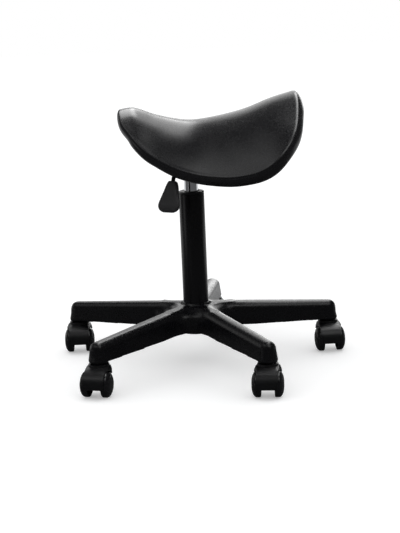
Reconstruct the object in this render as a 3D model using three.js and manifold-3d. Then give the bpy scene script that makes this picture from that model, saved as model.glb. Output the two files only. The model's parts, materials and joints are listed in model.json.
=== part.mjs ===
import * as THREE from "three";
import { mergeVertices } from "three/addons/utils/BufferGeometryUtils.js";
import Module from "manifold-3d";

const wasm = await Module();
wasm.setup();

// A saddle stool. A five-arm base on twin-wheel casters carries a gas column, and the column carries
// an upholstered saddle that turns and rises. Lengths are millimetres, +Z is up, the nose points to -X,
// and z = 0 is the floor.

const degree = Math.PI / 180;
const turn = 2 * Math.PI;

// Driving dimensions of the whole stool
const armLength = 270; // column axis to each caster's stem
const armCount = 5;
const baseTurn = 7.8 * degree; // how far the base stands turned under the seat, clockwise from above
const seatValley = 484; // height of the lowest point of the saddle's ridge
const seatFront = 129; // column axis to the outline's nose
const seatRear = 202.7; // column axis to the outline's rear edge
const seatHalfWidth = 176.7;

// Fits
const clearance = 0.3; // left round every fitted piece
const overrun = 2; // how far a cut reaches past the face that it opens

// Caster wheels
const wheelRadius = 25;
const wheelFacets = 16;
const domeSteps = 3;
const wheelInner = 13; // middle of the caster to the wheel's inner face
const wheelOuter = 30; // middle of the caster to the top of the wheel's domed face
const treadChamfer = 1.4;
const treadEnd = 20.5; // middle of the caster to the tread's outer edge, where the dome begins
const domeRadius = 6; // where the wheel's face turns flat
const rimWall = 3.4;
const wheelWeb = 8; // wall between the wheel's open side and the top of its dome
const wheelSleeve = 6.4; // radius of the sleeve that runs on the axle
const axleRadius = 3;
const axleEnd = 25.5; // middle of the caster to the axle's end
const axleChamfer = 0.6;
const axleFacets = 8;

// Caster hood and stem
const trail = 20; // stem axis to axle, along the floor
const hoodHalfWidth = 20;
const hoodWall = 2.2;
const hoodGap = 0.9; // running gap over the treads
const hoodEndAngle = -8 * degree; // the hood's trailing end, just below the axle's level
const hoodStartAngle = 158 * degree; // the hood's leading end, under the neck
const hoodSteps = 4;
const webHalfWidth = 11; // the solid middle between the two wheels
const webBoss = 7.5; // radius round the axle
const neckRadius = 20;
const neckRound = 2.2;
const neckFacets = 16;
const stemRadius = 5.5;
const stemFoot = 34;
const stemDepth = 28; // how far the stem reaches into the arm
const stemGroove = 0.9;
const stemGrooveHeight = 4;
const stemChamfer = 1.2;
const stemSleeve = 8.2; // reach of the hood's middle ahead of the stem

// Star base
const bossFoot = 60; // underside of the boss that holds a caster's stem
const bossRadius = 17;
const armEndFoot = 64;
const armEndTop = 98;
const armRootTop = 113;
const armRootFoot = 72;
const armEndHalf = 19.5;
const armRootHalf = 23;
const armShoulder = 11; // radius of the arm's upper edges
const armDraft = 3; // what each side leans in from its foot to its shoulder
const armWall = 4;
const armRoof = 5;
const ribThickness = 3;
const pocketRows = 3;
const pocketStart = 52; // column axis to the first pocket under an arm
const pocketRim = 11; // wall left round the stem's bore
const hubTop = 117;
const hubFoot = 66;
const hubNeck = 28.4;
const hubRadius = 42;
const hubFacets = 25;
const hubSleeve = 4.6; // wall round the column
const hubWall = 4;
const cornerRadius = 14; // hollow round between two arms, seen from above
const cornerOverlap = 0.8; // how far that round runs into the arms
const cornerLift = 1; // of the corner's foot over the arms' feet
const filletSteps = 4;
const hubRoof = 22; // solid depth over the hub's underside recess

// Gas column
const columnRadius = 25;
const columnDraft = 1; // what the column's radius loses inside the hub
const columnGap = 37; // column's top to the seat's socket at the lowest height
const columnWall = 2;
const columnFoot = 68;
const columnRim = 0.7;
const columnFacets = 24;
const skirtDepth = 6; // how far the wall reaches below the column's end plate
const endPlate = 3;
const bushDepth = 76; // how far the guide bush reaches down inside the column
const bushFlange = 3.6;

// Gas spring
const liftTravel = 150;
const springRadius = 14;
const springDraft = 1; // what the radius loses inside the seat's socket
const springWall = 2;
const springFacets = 18;
const springReach = 9; // how far the spring reaches past the housing's floor
const springEndCap = 12; // solid depth round the valve
const springSeal = 20; // solid depth round the rod
const rodRadius = 5;
const rodFacets = 10;
const rodInset = 1; // how far the rod ends above the column's foot
const pistonHeight = 12;
const pistonStop = 2; // what is left between piston and seal at full height
const valveRadius = 2.5;
const valveStand = 6; // how far the valve's pin stands out of the spring
const valveDepth = 8;
const valveChamfer = 0.7;
const clipRadius = 8.5;
const clipThickness = 1.2;
const clipOpening = 60 * degree;
const clipSteps = 5;

// Thrust bearing and buffer under the spring
const raceRadius = 14;
const raceThickness = 2;
const ballRadius = 2;
const ballCount = 8;
const ballMeridians = 5;
const ballParallels = 4;
const cageThickness = 1.4;
const cageRim = 2; // from the balls' circle to either edge of the cage, past the ball
const bufferRadius = 13;
const bufferHeight = 8;

// Seat plate
const plateDrop = 56; // seat's lowest point to the plate's top
const plateThickness = 3;
const plateHalfLength = 75;
const plateHalfWidth = 38;
const plateCorner = 12;
const cornerSteps = 2;
const plateFlange = 7; // how far the long edges are turned down
const housingHalfLength = 30; // along the lever
const housingHalfWidth = 22;
const housingWall = 2.5;
const housingDepth = 30; // plate's underside to the housing's floor
const socketRadius = 19;
const socketDepth = 18;
const boltInsetX = 15; // plate's short edge to the bolts
const boltInsetY = 13; // plate's long edge to the bolts
const boltRadius = 3;
const boltHead = 5.6;
const boltHeadHeight = 3.8;
const boltChamfer = 0.7;
const boltLength = 15;
const boltRecess = 2.4; // radius of the bolt's drive recess
const insertWall = 2.2;
const insertLength = 13;

// Height lever
const leverYaw = 25 * degree; // the lever points this far towards the nose from the seat's side
const leverPivot = 21; // column axis to pivot
const leverEye = 5.5;
const leverEyeHalf = 7;
const leverPinRadius = 2.5;
const leverPinHead = 4.4;
const leverPinHeadHeight = 1.8;
const leverRod = 4;
const leverRodSides = 4; // steps to each half turn of the rod's section
const leverRodSteps = 10;
const bendShare = 0.5; // how far along each straight of the rod its bends begin
const leverSlotHalf = 7;
const tongueHalfWidth = 4.5;
const tongueThickness = 4.4;
const tongueTip = 5; // how far the tongue reaches past the column axis
const tongueGap = 0.6; // free play over the valve's pin
const gripDrop = 19; // housing's floor to the paddle's upper end
const gripReach = 80; // column axis to the paddle's upper end
const gripLength = 61;
const gripTilt = 28 * degree; // the paddle's lower end swings out by this much
const gripHalfWidth = 22.5;
const gripHalfThickness = 6.2;
const gripBore = 18; // how far the rod reaches into the paddle

// Saddle
const seatThickness = 42;
const noseRise = 30.7; // crest of the nose over the valley
const cantleRise = 51.2; // rear edge over the valley
const edgeSwell = 9; // how far the edge swells past the outline
const edgePower = 2.2; // over 2 gives the edge fuller corners
const noseFall = 0.95; // how steeply the sides fall at the nose, the column and the rear
const middleFall = 0.86;
const rearFall = 0.68;
const noseSaddleHalfWidth = 30; // half-width over which the top rounds off before it falls
const middleSaddleHalfWidth = 62;
const rearSaddleHalfWidth = 95;
const innerSaddleHalfWidth = 60; // added to those for the way that the layers are stacked
const taperStart = -20; // where the layers begin to thin out towards the nose
const noseShare = 0.79; // what is left of their thickness at the nose
const padStart = 0.3; // share of the outline from which the padded top rolls down to its edge
const noseTipDrop = 6; // how far the top has rolled down at the edge, at the nose's tip and its sides
const noseSideDrop = 17;
const rearTipDrop = 6; // the same at the rear edge's middle and the seat's sides
const rearSideDrop = 14;
const sideStart = 0.6; // sine of the turn from the middle line at which the side's drop is reached
const coverThickness = 2.5;
const shellThickness = 8;
const linerThickness = 1.5;
const linerGap = 0.8; // over the cover's turned-in edge
const padGap = 0.5; // between the layers of the seat
const seatFacets = 32;

// Seat outline from nose to rear: share of the front or rear reach, share of the half-width
const outlineShares = [
  [-1, 0],
  [-0.96, 0.24],
  [-0.62, 0.478],
  [0, 0.715],
  [0.42, 0.938],
  [0.7, 1.004],
  [0.9, 0.824],
  [0.985, 0.418],
  [1, 0],
];

// The ridge along the middle: share of the front or rear reach, share of the nose's or cantle's rise
const noseRidgeShares = [
  [-1.06, 0.99],
  [-0.8, 1],
  [-0.45, 0.41],
];
const rearRidgeShares = [
  [0.28, 0.1],
  [0.55, 0.345],
  [0.8, 0.758],
  [1.04, 1.099],
];

// The paddle from its upper end down: share of its length, of its half-width, of its half-thickness
const gripShares = [
  [0, 0.36, 0.9],
  [0.04, 0.44, 1],
  [0.16, 0.56, 1],
  [0.3, 0.66, 0.94],
  [0.43, 0.77, 0.88],
  [0.57, 0.88, 0.82],
  [0.7, 0.98, 0.78],
  [0.79, 1, 0.76],
  [0.88, 0.93, 0.7],
  [0.96, 0.74, 0.58],
  [1, 0.5, 0.4],
];

// How far each caster has swung from trailing straight to the seat's right side
const casterTurns = [0, 0, -14, -6, 4].map((angle) => angle * degree);

// Places worked out from the sizes above
const axleHeight = wheelRadius * Math.cos(Math.PI / wheelFacets);
const plateFoot = columnFoot + skirtDepth;
const bearingFoot = plateFoot + endPlate + clearance;
const ballHeight = bearingFoot + raceThickness + clearance + ballRadius;
const upperRace = ballHeight + ballRadius + clearance;
const bufferFoot = upperRace + raceThickness + clearance;
const springFoot = bufferFoot + bufferHeight + clearance;
const pistonFoot = springFoot + springSeal + liftTravel + pistonStop;
const plateTop = seatValley - plateDrop;
const housingFloor = plateTop - plateThickness - housingDepth;
const socketFoot = housingFloor - socketDepth;
const columnTop = socketFoot - columnGap;
const springTop = housingFloor + springReach;
const valveTop = springTop + valveStand;
const tongueFoot = valveTop + tongueGap;
const pivotHeight = tongueFoot + tongueThickness - leverEye;
const gripTop = housingFloor - gripDrop;
const boltX = plateHalfLength - boltInsetX;
const boltY = plateHalfWidth - boltInsetY;
const rodHole = rodRadius + clearance;
const armAngle = (index) => turn / 4 - baseTurn + (index * turn) / armCount;
const { clamp, lerp } = THREE.MathUtils;

// Finishes
const finishes = {
  nylon: { color: 0x17181b, roughness: 0.55, metalness: 0 },
  wheelPlastic: { color: 0x111214, roughness: 0.4, metalness: 0 },
  columnPaint: { color: 0x0b0b0d, roughness: 0.35, metalness: 0.1 },
  bushPlastic: { color: 0x0f1012, roughness: 0.45, metalness: 0 },
  chrome: { color: 0xc9ccd1, roughness: 0.12, metalness: 1 },
  steel: { color: 0x8d9096, roughness: 0.4, metalness: 0.9 },
  platePaint: { color: 0x141416, roughness: 0.5, metalness: 0.2 },
  rubber: { color: 0x1a1a1a, roughness: 0.9, metalness: 0 },
  leatherette: { color: 0x151517, roughness: 0.42, metalness: 0 },
  foam: { color: 0xd8cfae, roughness: 0.95, metalness: 0 },
  shellPlastic: { color: 0x202124, roughness: 0.6, metalness: 0 },
  felt: { color: 0x101011, roughness: 1, metalness: 0 },
};

// A closed geometry as a solid with its faces turned outwards
function solidOf(geometry) {
  const bare = geometry.clone();
  bare.deleteAttribute("normal");
  bare.deleteAttribute("uv");
  const merged = mergeVertices(bare);
  const corners = merged.index.array;
  const kept = [];
  for (let i = 0; i < corners.length; i += 3) {
    const [a, b, c] = corners.slice(i, i + 3);
    if (a !== b && b !== c && c !== a) kept.push(a, b, c);
  }
  const vertProperties = new Float32Array(merged.attributes.position.array);
  const build = (triVerts) =>
    new wasm.Manifold(new wasm.Mesh({ numProp: 3, vertProperties, triVerts }));
  const solid = build(new Uint32Array(kept));
  return solid.volume() < 0 ? build(new Uint32Array(kept.reverse())) : solid;
}

function geometryOf(solid) {
  const mesh = solid.getMesh();
  const geometry = new THREE.BufferGeometry();
  geometry.setAttribute("position", new THREE.BufferAttribute(mesh.vertProperties, 3));
  geometry.setIndex(new THREE.BufferAttribute(mesh.triVerts, 1));
  geometry.computeVertexNormals();
  return geometry;
}

const combine = (operation, first, others) =>
  geometryOf(others.reduce((sum, next) => sum[operation](solidOf(next)), solidOf(first)));
const join = (first, ...others) => combine("add", first, others);
const cut = (first, ...others) => combine("subtract", first, others);
const common = (first, ...others) => combine("intersect", first, others);

// One named piece with a material of its own
function piece(name, geometry, finish) {
  const material = new THREE.MeshStandardMaterial(finish);
  const mesh = new THREE.Mesh(geometryOf(solidOf(geometry)), material);
  mesh.name = name;
  return mesh;
}

// A profile of [radius, height] points turned about Z; one that stays off the axis closes on itself
function revolve(profile, facets) {
  const closed = profile[0][0] > 0 ? [...profile, profile[0]] : profile;
  const points = closed.map(([radius, height]) => new THREE.Vector2(radius, height));
  return new THREE.LatheGeometry(points, facets).rotateX(turn / 4);
}

const rodBetween = (radius, foot, top, facets) =>
  revolve([[0, foot], [radius, foot], [radius, top], [0, top]], facets);

const ringBetween = (inner, outer, foot, top, facets) =>
  revolve([[inner, foot], [outer, foot], [outer, top], [inner, top]], facets);

// A rod along Y through a point of the XZ plane
const crossRod = (radius, halfLength, x, z, facets) =>
  rodBetween(radius, -halfLength, halfLength, facets).rotateX(turn / 4).translate(x, 0, z);

const blockBetween = (low, high) =>
  new THREE.BoxGeometry(high[0] - low[0], high[1] - low[1], high[2] - low[2]).translate(
    (low[0] + high[0]) / 2,
    (low[1] + high[1]) / 2,
    (low[2] + high[2]) / 2,
  );

// A shape in the XY plane raised between two heights
const slab = (shape, foot, top, curveSegments) => {
  const options = { depth: top - foot, bevelEnabled: false, curveSegments };
  return new THREE.ExtrudeGeometry(shape, options).translate(0, 0, foot);
};

// A shape drawn in the XZ plane and given a thickness about Y = 0
const plateAcross = (shape, halfWidth, curveSegments) =>
  new THREE.ExtrudeGeometry(shape, { depth: 2 * halfWidth, bevelEnabled: false, curveSegments })
    .rotateX(turn / 4)
    .translate(0, halfWidth, 0);

const middleOf = (ring) =>
  ring.reduce((sum, point) => sum.add(point), new THREE.Vector3()).divideScalar(ring.length);

// A skin over rings of equally many points, closed at either end by a fan to a point. Each quad is split
// along its shorter diagonal, so that the faces of neighbouring layers are split alike.
function loft(rings, first = middleOf(rings[0]), last = middleOf(rings.at(-1))) {
  const count = rings[0].length;
  const points = [...rings.flat(), first, last];
  const index = [];
  for (let row = 0; row < rings.length - 1; row += 1) {
    for (let i = 0; i < count; i += 1) {
      const next = (i + 1) % count;
      const [a, b] = [row * count + i, row * count + next];
      const straight = points[a].distanceTo(points[b + count]);
      const crossed = points[b].distanceTo(points[a + count]);
      if (straight < crossed) index.push(a, b, b + count, a, b + count, a + count);
      else index.push(a, b, a + count, b, b + count, a + count);
    }
  }
  const lastRow = (rings.length - 1) * count;
  for (let i = 0; i < count; i += 1) {
    const next = (i + 1) % count;
    index.push(points.length - 2, next, i);
    index.push(points.length - 1, lastRow + i, lastRow + next);
  }
  const geometry = new THREE.BufferGeometry().setFromPoints(points);
  geometry.setIndex(index);
  return geometry;
}

function roundedRectangle(halfLength, halfWidth, radius) {
  const shape = new THREE.Shape();
  const [x, y] = [halfLength - radius, halfWidth - radius];
  shape.absarc(x, y, radius, 0, turn / 4);
  shape.absarc(-x, y, radius, turn / 4, turn / 2);
  shape.absarc(-x, -y, radius, turn / 2, (3 * turn) / 4);
  shape.absarc(x, -y, radius, (3 * turn) / 4, turn);
  shape.closePath();
  return shape;
}

// A height for any x on a smooth line through [x, height] stations
function smoothLine(stations) {
  const slopeAt = (i) => {
    const before = stations[Math.max(i - 1, 0)];
    const after = stations[Math.min(i + 1, stations.length - 1)];
    return (after[1] - before[1]) / (after[0] - before[0]);
  };
  return (x) => {
    const found = stations.findIndex((station) => station[0] > x);
    const right = found < 0 ? stations.length - 1 : Math.max(found, 1);
    const [[x0, y0], [x1, y1]] = [stations[right - 1], stations[right]];
    const t = clamp((x - x0) / (x1 - x0), 0, 1);
    const span = x1 - x0;
    const ease = t * t * (3 - 2 * t);
    const rise = t * (1 - t) * ((1 - t) * slopeAt(right - 1) - t * slopeAt(right));
    return lerp(y0, y1, ease) + rise * span;
  };
}

// Star base: arms of channel section with pockets underneath, joined round a hub

function armSection(distance) {
  const share = clamp((distance - hubRadius) / (armLength - hubRadius), 0, 1);
  return {
    half: lerp(armRootHalf, armEndHalf, share),
    foot: lerp(armRootFoot, armEndFoot, share),
    top: lerp(armRootTop, armEndTop, share),
  };
}

const shoulderShare = 0.62; // the shoulder never takes more than this share of the half-width
const shoulderSteps = 3;
const endRoundShare = 0.93; // the arm's round end stops this share of the way to its tip
const endSteps = 4;

// The end angle says how far the ring has gone round the arm's end, where its outside leans in too
function armRing(distance, half, top, foot, endAngle = 0) {
  const upperHalf = half - armDraft * Math.cos(endAngle);
  const upperDistance = distance - armDraft * Math.sin(endAngle);
  const side = Math.min(armShoulder, upperHalf * shoulderShare);
  const upper = [];
  for (let step = 0; step <= shoulderSteps; step += 1) {
    const angle = (step / shoulderSteps) * (turn / 4);
    const up = top - armShoulder + armShoulder * Math.sin(angle);
    upper.push([upperDistance, upperHalf - side + side * Math.cos(angle), up]);
  }
  const mirrored = upper.map(([x, y, z]) => [x, -y, z]).reverse();
  const points = [[distance, -half, foot], [distance, half, foot], ...upper, ...mirrored];
  return points.map((point) => new THREE.Vector3(...point));
}

function armBody() {
  const rings = [columnRadius, hubRadius, armLength].map((distance) => {
    const { half, top, foot } = armSection(distance);
    return armRing(distance, half, top, foot);
  });
  for (let step = 1; step <= endSteps; step += 1) {
    const angle = (step / endSteps) * (turn / 4) * endRoundShare;
    const distance = armLength + armEndHalf * Math.sin(angle);
    const past = Math.max(0, 1 - ((armEndHalf - armDraft) * (1 - Math.sin(angle))) / armShoulder);
    const drop = armShoulder * (1 - Math.sqrt(1 - past * past));
    rings.push(armRing(distance, armEndHalf * Math.cos(angle), armEndTop - drop, armEndFoot, angle));
  }
  return loft(rings);
}

// One pocket between two distances, on one side of the arm's middle rib
function armPocket(near, far, side) {
  const corner = armShoulder * shoulderShare;
  const rings = [near, far].map((distance) => {
    const { half, top, foot } = armSection(distance);
    const [inner, outer, roof] = [ribThickness / 2, half - armWall, top - armRoof];
    const points = [
      [inner, foot - overrun],
      [outer, foot - overrun],
      [outer - armDraft, roof - corner],
      [outer - armDraft - corner, roof],
      [inner, roof],
    ];
    return points.map(([y, z]) => new THREE.Vector3(distance, side * y, z));
  });
  return loft(rings);
}

function armPockets() {
  const end = armLength - stemRadius - clearance - pocketRim;
  const pitch = (end - pocketStart + ribThickness) / pocketRows;
  const pockets = [];
  for (let row = 0; row < pocketRows; row += 1) {
    const near = pocketStart + row * pitch;
    for (const side of [-1, 1]) pockets.push(armPocket(near, near + pitch - ribThickness, side));
  }
  return pockets;
}

// The hub's outside, from its foot to its neck: share of the way out from the neck, share of its height
const hubShares = [
  [1, 0],
  [1, 0.52],
  [0.74, 0.72],
  [0.34, 0.87],
  [0, 1],
];

const columnDraftAt = (height) => columnDraft * clamp((hubTop - height) / (hubTop - columnFoot), 0, 1);

function hubBody() {
  const outside = hubShares.map(([out, up]) => [
    lerp(hubNeck, hubRadius, out),
    lerp(hubFoot, hubTop, up),
  ]);
  return revolve([[0, hubFoot], ...outside, [0, hubTop]], hubFacets);
}

// Fills the corner between two arms up to a hollow round, with a stepped-in top edge
function armCorner() {
  const half = turn / armCount / 2;
  const middle = (armRootHalf + cornerRadius) / Math.sin(half) - cornerOverlap;
  const levels = [
    [armRootFoot + cornerLift, 0],
    [armRootTop - armShoulder * 1.6, 0],
    [armRootTop - armShoulder, armShoulder * 0.2],
    [armRootTop - armShoulder * 0.6, armShoulder * 0.7],
  ];
  const rings = levels.map(([height, inset]) => {
    const ring = [new THREE.Vector3(0, 0, height)];
    for (let step = 0; step <= filletSteps; step += 1) {
      const angle = turn / 2 + ((2 * step) / filletSteps - 1) * (turn / 4 - half);
      const radius = cornerRadius + inset;
      ring.push(new THREE.Vector3(middle + radius * Math.cos(angle), radius * Math.sin(angle), height));
    }
    return ring.reverse();
  });
  return loft(rings);
}

function hubBore() {
  const wall = [hubFoot - overrun, columnFoot, hubTop, hubTop + overrun];
  const points = wall.map((height) => [columnRadius - columnDraftAt(height) + clearance, height]);
  return revolve([[0, wall[0]], ...points, [0, wall.at(-1)]], columnFacets);
}

function hubRecess() {
  const inner = columnRadius + clearance + hubSleeve;
  const outer = hubRadius - hubWall;
  const ribs = [];
  for (let i = 0; i < 2 * armCount; i += 1) {
    const low = [0, -ribThickness / 2, hubFoot - 2 * overrun];
    const rib = blockBetween(low, [hubRadius, ribThickness / 2, hubTop]);
    ribs.push(rib.rotateZ(armAngle(i / 2)));
  }
  return cut(ringBetween(inner, outer, hubFoot - overrun, hubTop - hubRoof, hubFacets), ...ribs);
}

function starBase() {
  const arms = [];
  const hollows = [hubBore(), hubRecess()];
  const boreTop = bossFoot + stemDepth + clearance;
  for (let i = 0; i < armCount; i += 1) {
    const stemBore = rodBetween(stemRadius + clearance, bossFoot - overrun, boreTop, rodFacets);
    const boss = rodBetween(bossRadius, bossFoot, armEndFoot + armRoof, neckFacets);
    arms.push(armBody().rotateZ(armAngle(i)), boss.translate(armLength, 0, 0).rotateZ(armAngle(i)));
    arms.push(armCorner().rotateZ(armAngle(i + 1 / 2)));
    hollows.push(stemBore.translate(armLength, 0, 0).rotateZ(armAngle(i)));
    armPockets().forEach((pocket) => hollows.push(pocket.rotateZ(armAngle(i))));
  }
  return piece("star_base", cut(join(hubBody(), ...arms), ...hollows), finishes.nylon);
}

// Gas column

function columnTube() {
  const radiusAt = (height) => columnRadius - columnDraftAt(height);
  const innerAt = (height) => radiusAt(height) - columnWall;
  const plateHead = plateFoot + endPlate;
  const profile = [
    [innerAt(columnFoot), columnFoot],
    [radiusAt(columnFoot), columnFoot],
    [radiusAt(hubTop), hubTop],
    [columnRadius, columnTop - columnRim],
    [columnRadius - columnRim, columnTop],
    [columnRadius - columnWall, columnTop],
    [innerAt(hubTop), hubTop],
    [innerAt(plateHead), plateHead],
    [rodHole, plateHead],
    [rodHole, plateFoot],
    [innerAt(plateFoot), plateFoot],
  ];
  return piece("column_tube", revolve(profile, columnFacets), finishes.columnPaint);
}

function guideBush() {
  const inner = springRadius + clearance;
  const outer = columnRadius - columnWall - clearance;
  const seat = columnTop + clearance;
  const profile = [
    [inner, columnTop - bushDepth],
    [outer, columnTop - bushDepth],
    [outer, seat],
    [columnRadius, seat],
    [columnRadius, seat + bushFlange - columnRim],
    [columnRadius - columnRim, seat + bushFlange],
    [inner, seat + bushFlange],
  ];
  return piece("guide_bush", revolve(profile, columnFacets), finishes.bushPlastic);
}

function pressureTube() {
  const inner = springRadius - springWall;
  const valveHole = valveRadius + clearance;
  const profile = [
    [rodHole, springFoot],
    [springRadius, springFoot],
    [springRadius, socketFoot],
    [springRadius - springDraft, springTop],
    [valveHole, springTop],
    [valveHole, springTop - springEndCap],
    [inner, springTop - springEndCap],
    [inner, springFoot + springSeal],
    [rodHole, springFoot + springSeal],
  ];
  return piece("pressure_tube", revolve(profile, springFacets), finishes.chrome);
}

function pistonRod() {
  const groove = rodRadius - clipThickness;
  const clipFoot = plateFoot - 2 * clearance - clipThickness;
  const profile = [
    [0, columnFoot + rodInset],
    [rodRadius, columnFoot + rodInset],
    [rodRadius, clipFoot - clearance],
    [groove, clipFoot - clearance],
    [groove, plateFoot - clearance],
    [rodRadius, plateFoot - clearance],
    [rodRadius, pistonFoot + pistonHeight],
    [0, pistonFoot + pistonHeight],
  ];
  return piece("piston_rod", revolve(profile, rodFacets), finishes.steel);
}

function piston() {
  const outer = springRadius - springWall - clearance;
  const ring = ringBetween(rodHole, outer, pistonFoot, pistonFoot + pistonHeight, springFacets);
  return piece("piston", ring, finishes.steel);
}

// Open ring that snaps into the rod's groove under the column's end plate
function retainingClip() {
  const inner = rodRadius - clipThickness + clearance;
  const foot = plateFoot - 2 * clearance - clipThickness;
  const shape = new THREE.Shape();
  shape.absarc(0, 0, clipRadius, clipOpening / 2, turn - clipOpening / 2, false);
  shape.absarc(0, 0, inner, turn - clipOpening / 2, clipOpening / 2, true);
  shape.closePath();
  return piece("retaining_clip", slab(shape, foot, foot + clipThickness, clipSteps), finishes.steel);
}

const bearingRace = (name, foot) =>
  piece(name, ringBetween(rodHole, raceRadius, foot, foot + raceThickness, springFacets), finishes.steel);

function ballCage() {
  const circle = (rodHole + raceRadius) / 2;
  const rim = ballRadius + cageRim;
  const half = cageThickness / 2;
  let cage = ringBetween(circle - rim, circle + rim, ballHeight - half, ballHeight + half, springFacets);
  for (let i = 0; i < ballCount; i += 1) {
    const ball = new THREE.SphereGeometry(ballRadius, ballMeridians, ballParallels);
    cage = join(cage, ball.translate(circle, 0, ballHeight).rotateZ((i * turn) / ballCount));
  }
  return piece("bearing_cage", cage, finishes.steel);
}

const buffer = () =>
  piece(
    "rubber_buffer",
    ringBetween(rodHole, bufferRadius, bufferFoot, bufferFoot + bufferHeight, springFacets),
    finishes.rubber,
  );

function valvePin() {
  const profile = [
    [0, springTop - valveDepth],
    [valveRadius, springTop - valveDepth],
    [valveRadius, valveTop - valveChamfer],
    [valveRadius - valveChamfer, valveTop],
    [0, valveTop],
  ];
  return piece("valve_pin", revolve(profile, rodFacets), finishes.steel);
}

// Casters, built with the stem on Z and the wheel trailing towards +X

function wheel(name, side) {
  const hole = axleRadius + clearance;
  const holeEnd = axleEnd + clearance;
  const rim = wheelRadius - rimWall;
  const web = wheelOuter - wheelWeb;
  const profile = [
    [0, holeEnd],
    [hole, holeEnd],
    [hole, wheelInner],
    [wheelSleeve, wheelInner],
    [wheelSleeve, web],
    [rim, web],
    [rim, wheelInner],
    [wheelRadius - treadChamfer, wheelInner],
    [wheelRadius, wheelInner + treadChamfer],
  ];
  for (let step = 0; step <= domeSteps; step += 1) {
    const angle = (step / domeSteps) * (turn / 4);
    const radius = lerp(domeRadius, wheelRadius, Math.cos(angle));
    profile.push([radius, lerp(treadEnd, wheelOuter, Math.sin(angle))]);
  }
  profile.push([0, wheelOuter]);
  const points = profile.map(([radius, across]) => new THREE.Vector2(radius, across));
  // A facet, not a corner, faces the floor
  const geometry = new THREE.LatheGeometry(points, wheelFacets, turn / 2 / wheelFacets);
  if (side < 0) geometry.rotateZ(turn / 2);
  return piece(name, geometry.translate(trail, 0, axleHeight), finishes.wheelPlastic);
}

function hood(name) {
  const inside = wheelRadius + hoodGap;
  const outside = inside + hoodWall;
  const neckTop = bossFoot - clearance;

  const band = new THREE.Shape();
  band.absarc(trail, axleHeight, outside, hoodEndAngle, hoodStartAngle, false);
  band.absarc(trail, axleHeight, inside - hoodWall, hoodStartAngle, hoodEndAngle, true);
  band.closePath();

  const web = new THREE.Shape();
  web.absarc(trail, axleHeight, inside, hoodEndAngle, hoodStartAngle, false);
  web.lineTo(-stemSleeve, stemFoot - hoodWall);
  web.lineTo(0, stemFoot - hoodWall);
  web.absarc(trail, axleHeight, webBoss, (5 * turn) / 8, (7 * turn) / 8, false);
  web.closePath();

  const neckProfile = [
    [0, stemFoot],
    [neckRadius, stemFoot],
    [neckRadius, neckTop - neckRound],
    [neckRadius - neckRound, neckTop],
    [0, neckTop],
  ];
  const wells = [-1, 1].map((side) =>
    crossRod(inside, (wheelOuter - webHalfWidth) / 2, trail, axleHeight, wheelFacets).translate(
      0,
      (side * (wheelOuter + webHalfWidth)) / 2,
      0,
    ),
  );
  const shroud = plateAcross(band, hoodHalfWidth, hoodSteps);
  const middle = plateAcross(web, webHalfWidth, hoodSteps);
  const body = join(shroud, middle, revolve(neckProfile, neckFacets));
  const stemBore = rodBetween(stemRadius + clearance, stemFoot - clearance, neckTop + overrun, rodFacets);
  const axleBore = crossRod(axleRadius + clearance, hoodHalfWidth, trail, axleHeight, axleFacets);
  return piece(name, cut(body, ...wells, stemBore, axleBore), finishes.nylon);
}

function stem(name) {
  const top = bossFoot + stemDepth;
  const groove = top - 2 * stemGrooveHeight;
  const profile = [
    [0, stemFoot],
    [stemRadius, stemFoot],
    [stemRadius, groove],
    [stemRadius - stemGroove, groove + stemGroove],
    [stemRadius - stemGroove, groove + stemGrooveHeight - stemGroove],
    [stemRadius, groove + stemGrooveHeight],
    [stemRadius, top - stemChamfer],
    [stemRadius - stemChamfer, top],
    [0, top],
  ];
  return piece(name, revolve(profile, rodFacets), finishes.steel);
}

function axle(name) {
  const profile = [
    [0, -axleEnd],
    [axleRadius - axleChamfer, -axleEnd],
    [axleRadius, axleChamfer - axleEnd],
    [axleRadius, axleEnd - axleChamfer],
    [axleRadius - axleChamfer, axleEnd],
    [0, axleEnd],
  ];
  const geometry = revolve(profile, axleFacets).rotateX(turn / 4).translate(trail, 0, axleHeight);
  return piece(name, geometry, finishes.steel);
}

function caster(index) {
  const number = index + 1;
  const group = new THREE.Group();
  group.add(
    stem(`caster${number}_stem`),
    hood(`caster${number}_hood`),
    axle(`caster${number}_axle`),
    wheel(`caster${number}_wheel_left`, 1),
    wheel(`caster${number}_wheel_right`, -1),
  );
  group.position.set(armLength * Math.cos(armAngle(index)), armLength * Math.sin(armAngle(index)), 0);
  group.rotation.z = -turn / 4 + casterTurns[index];
  return group;
}

// Seat plate: a pressed plate, and under it the housing of the lever with the spring's socket

const leverTurn = -turn / 4 - leverYaw; // turns +X to the way that the lever points
const boltPlaces = [1, -1].flatMap((alongX) => [1, -1].map((alongY) => [alongX * boltX, alongY * boltY]));

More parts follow.
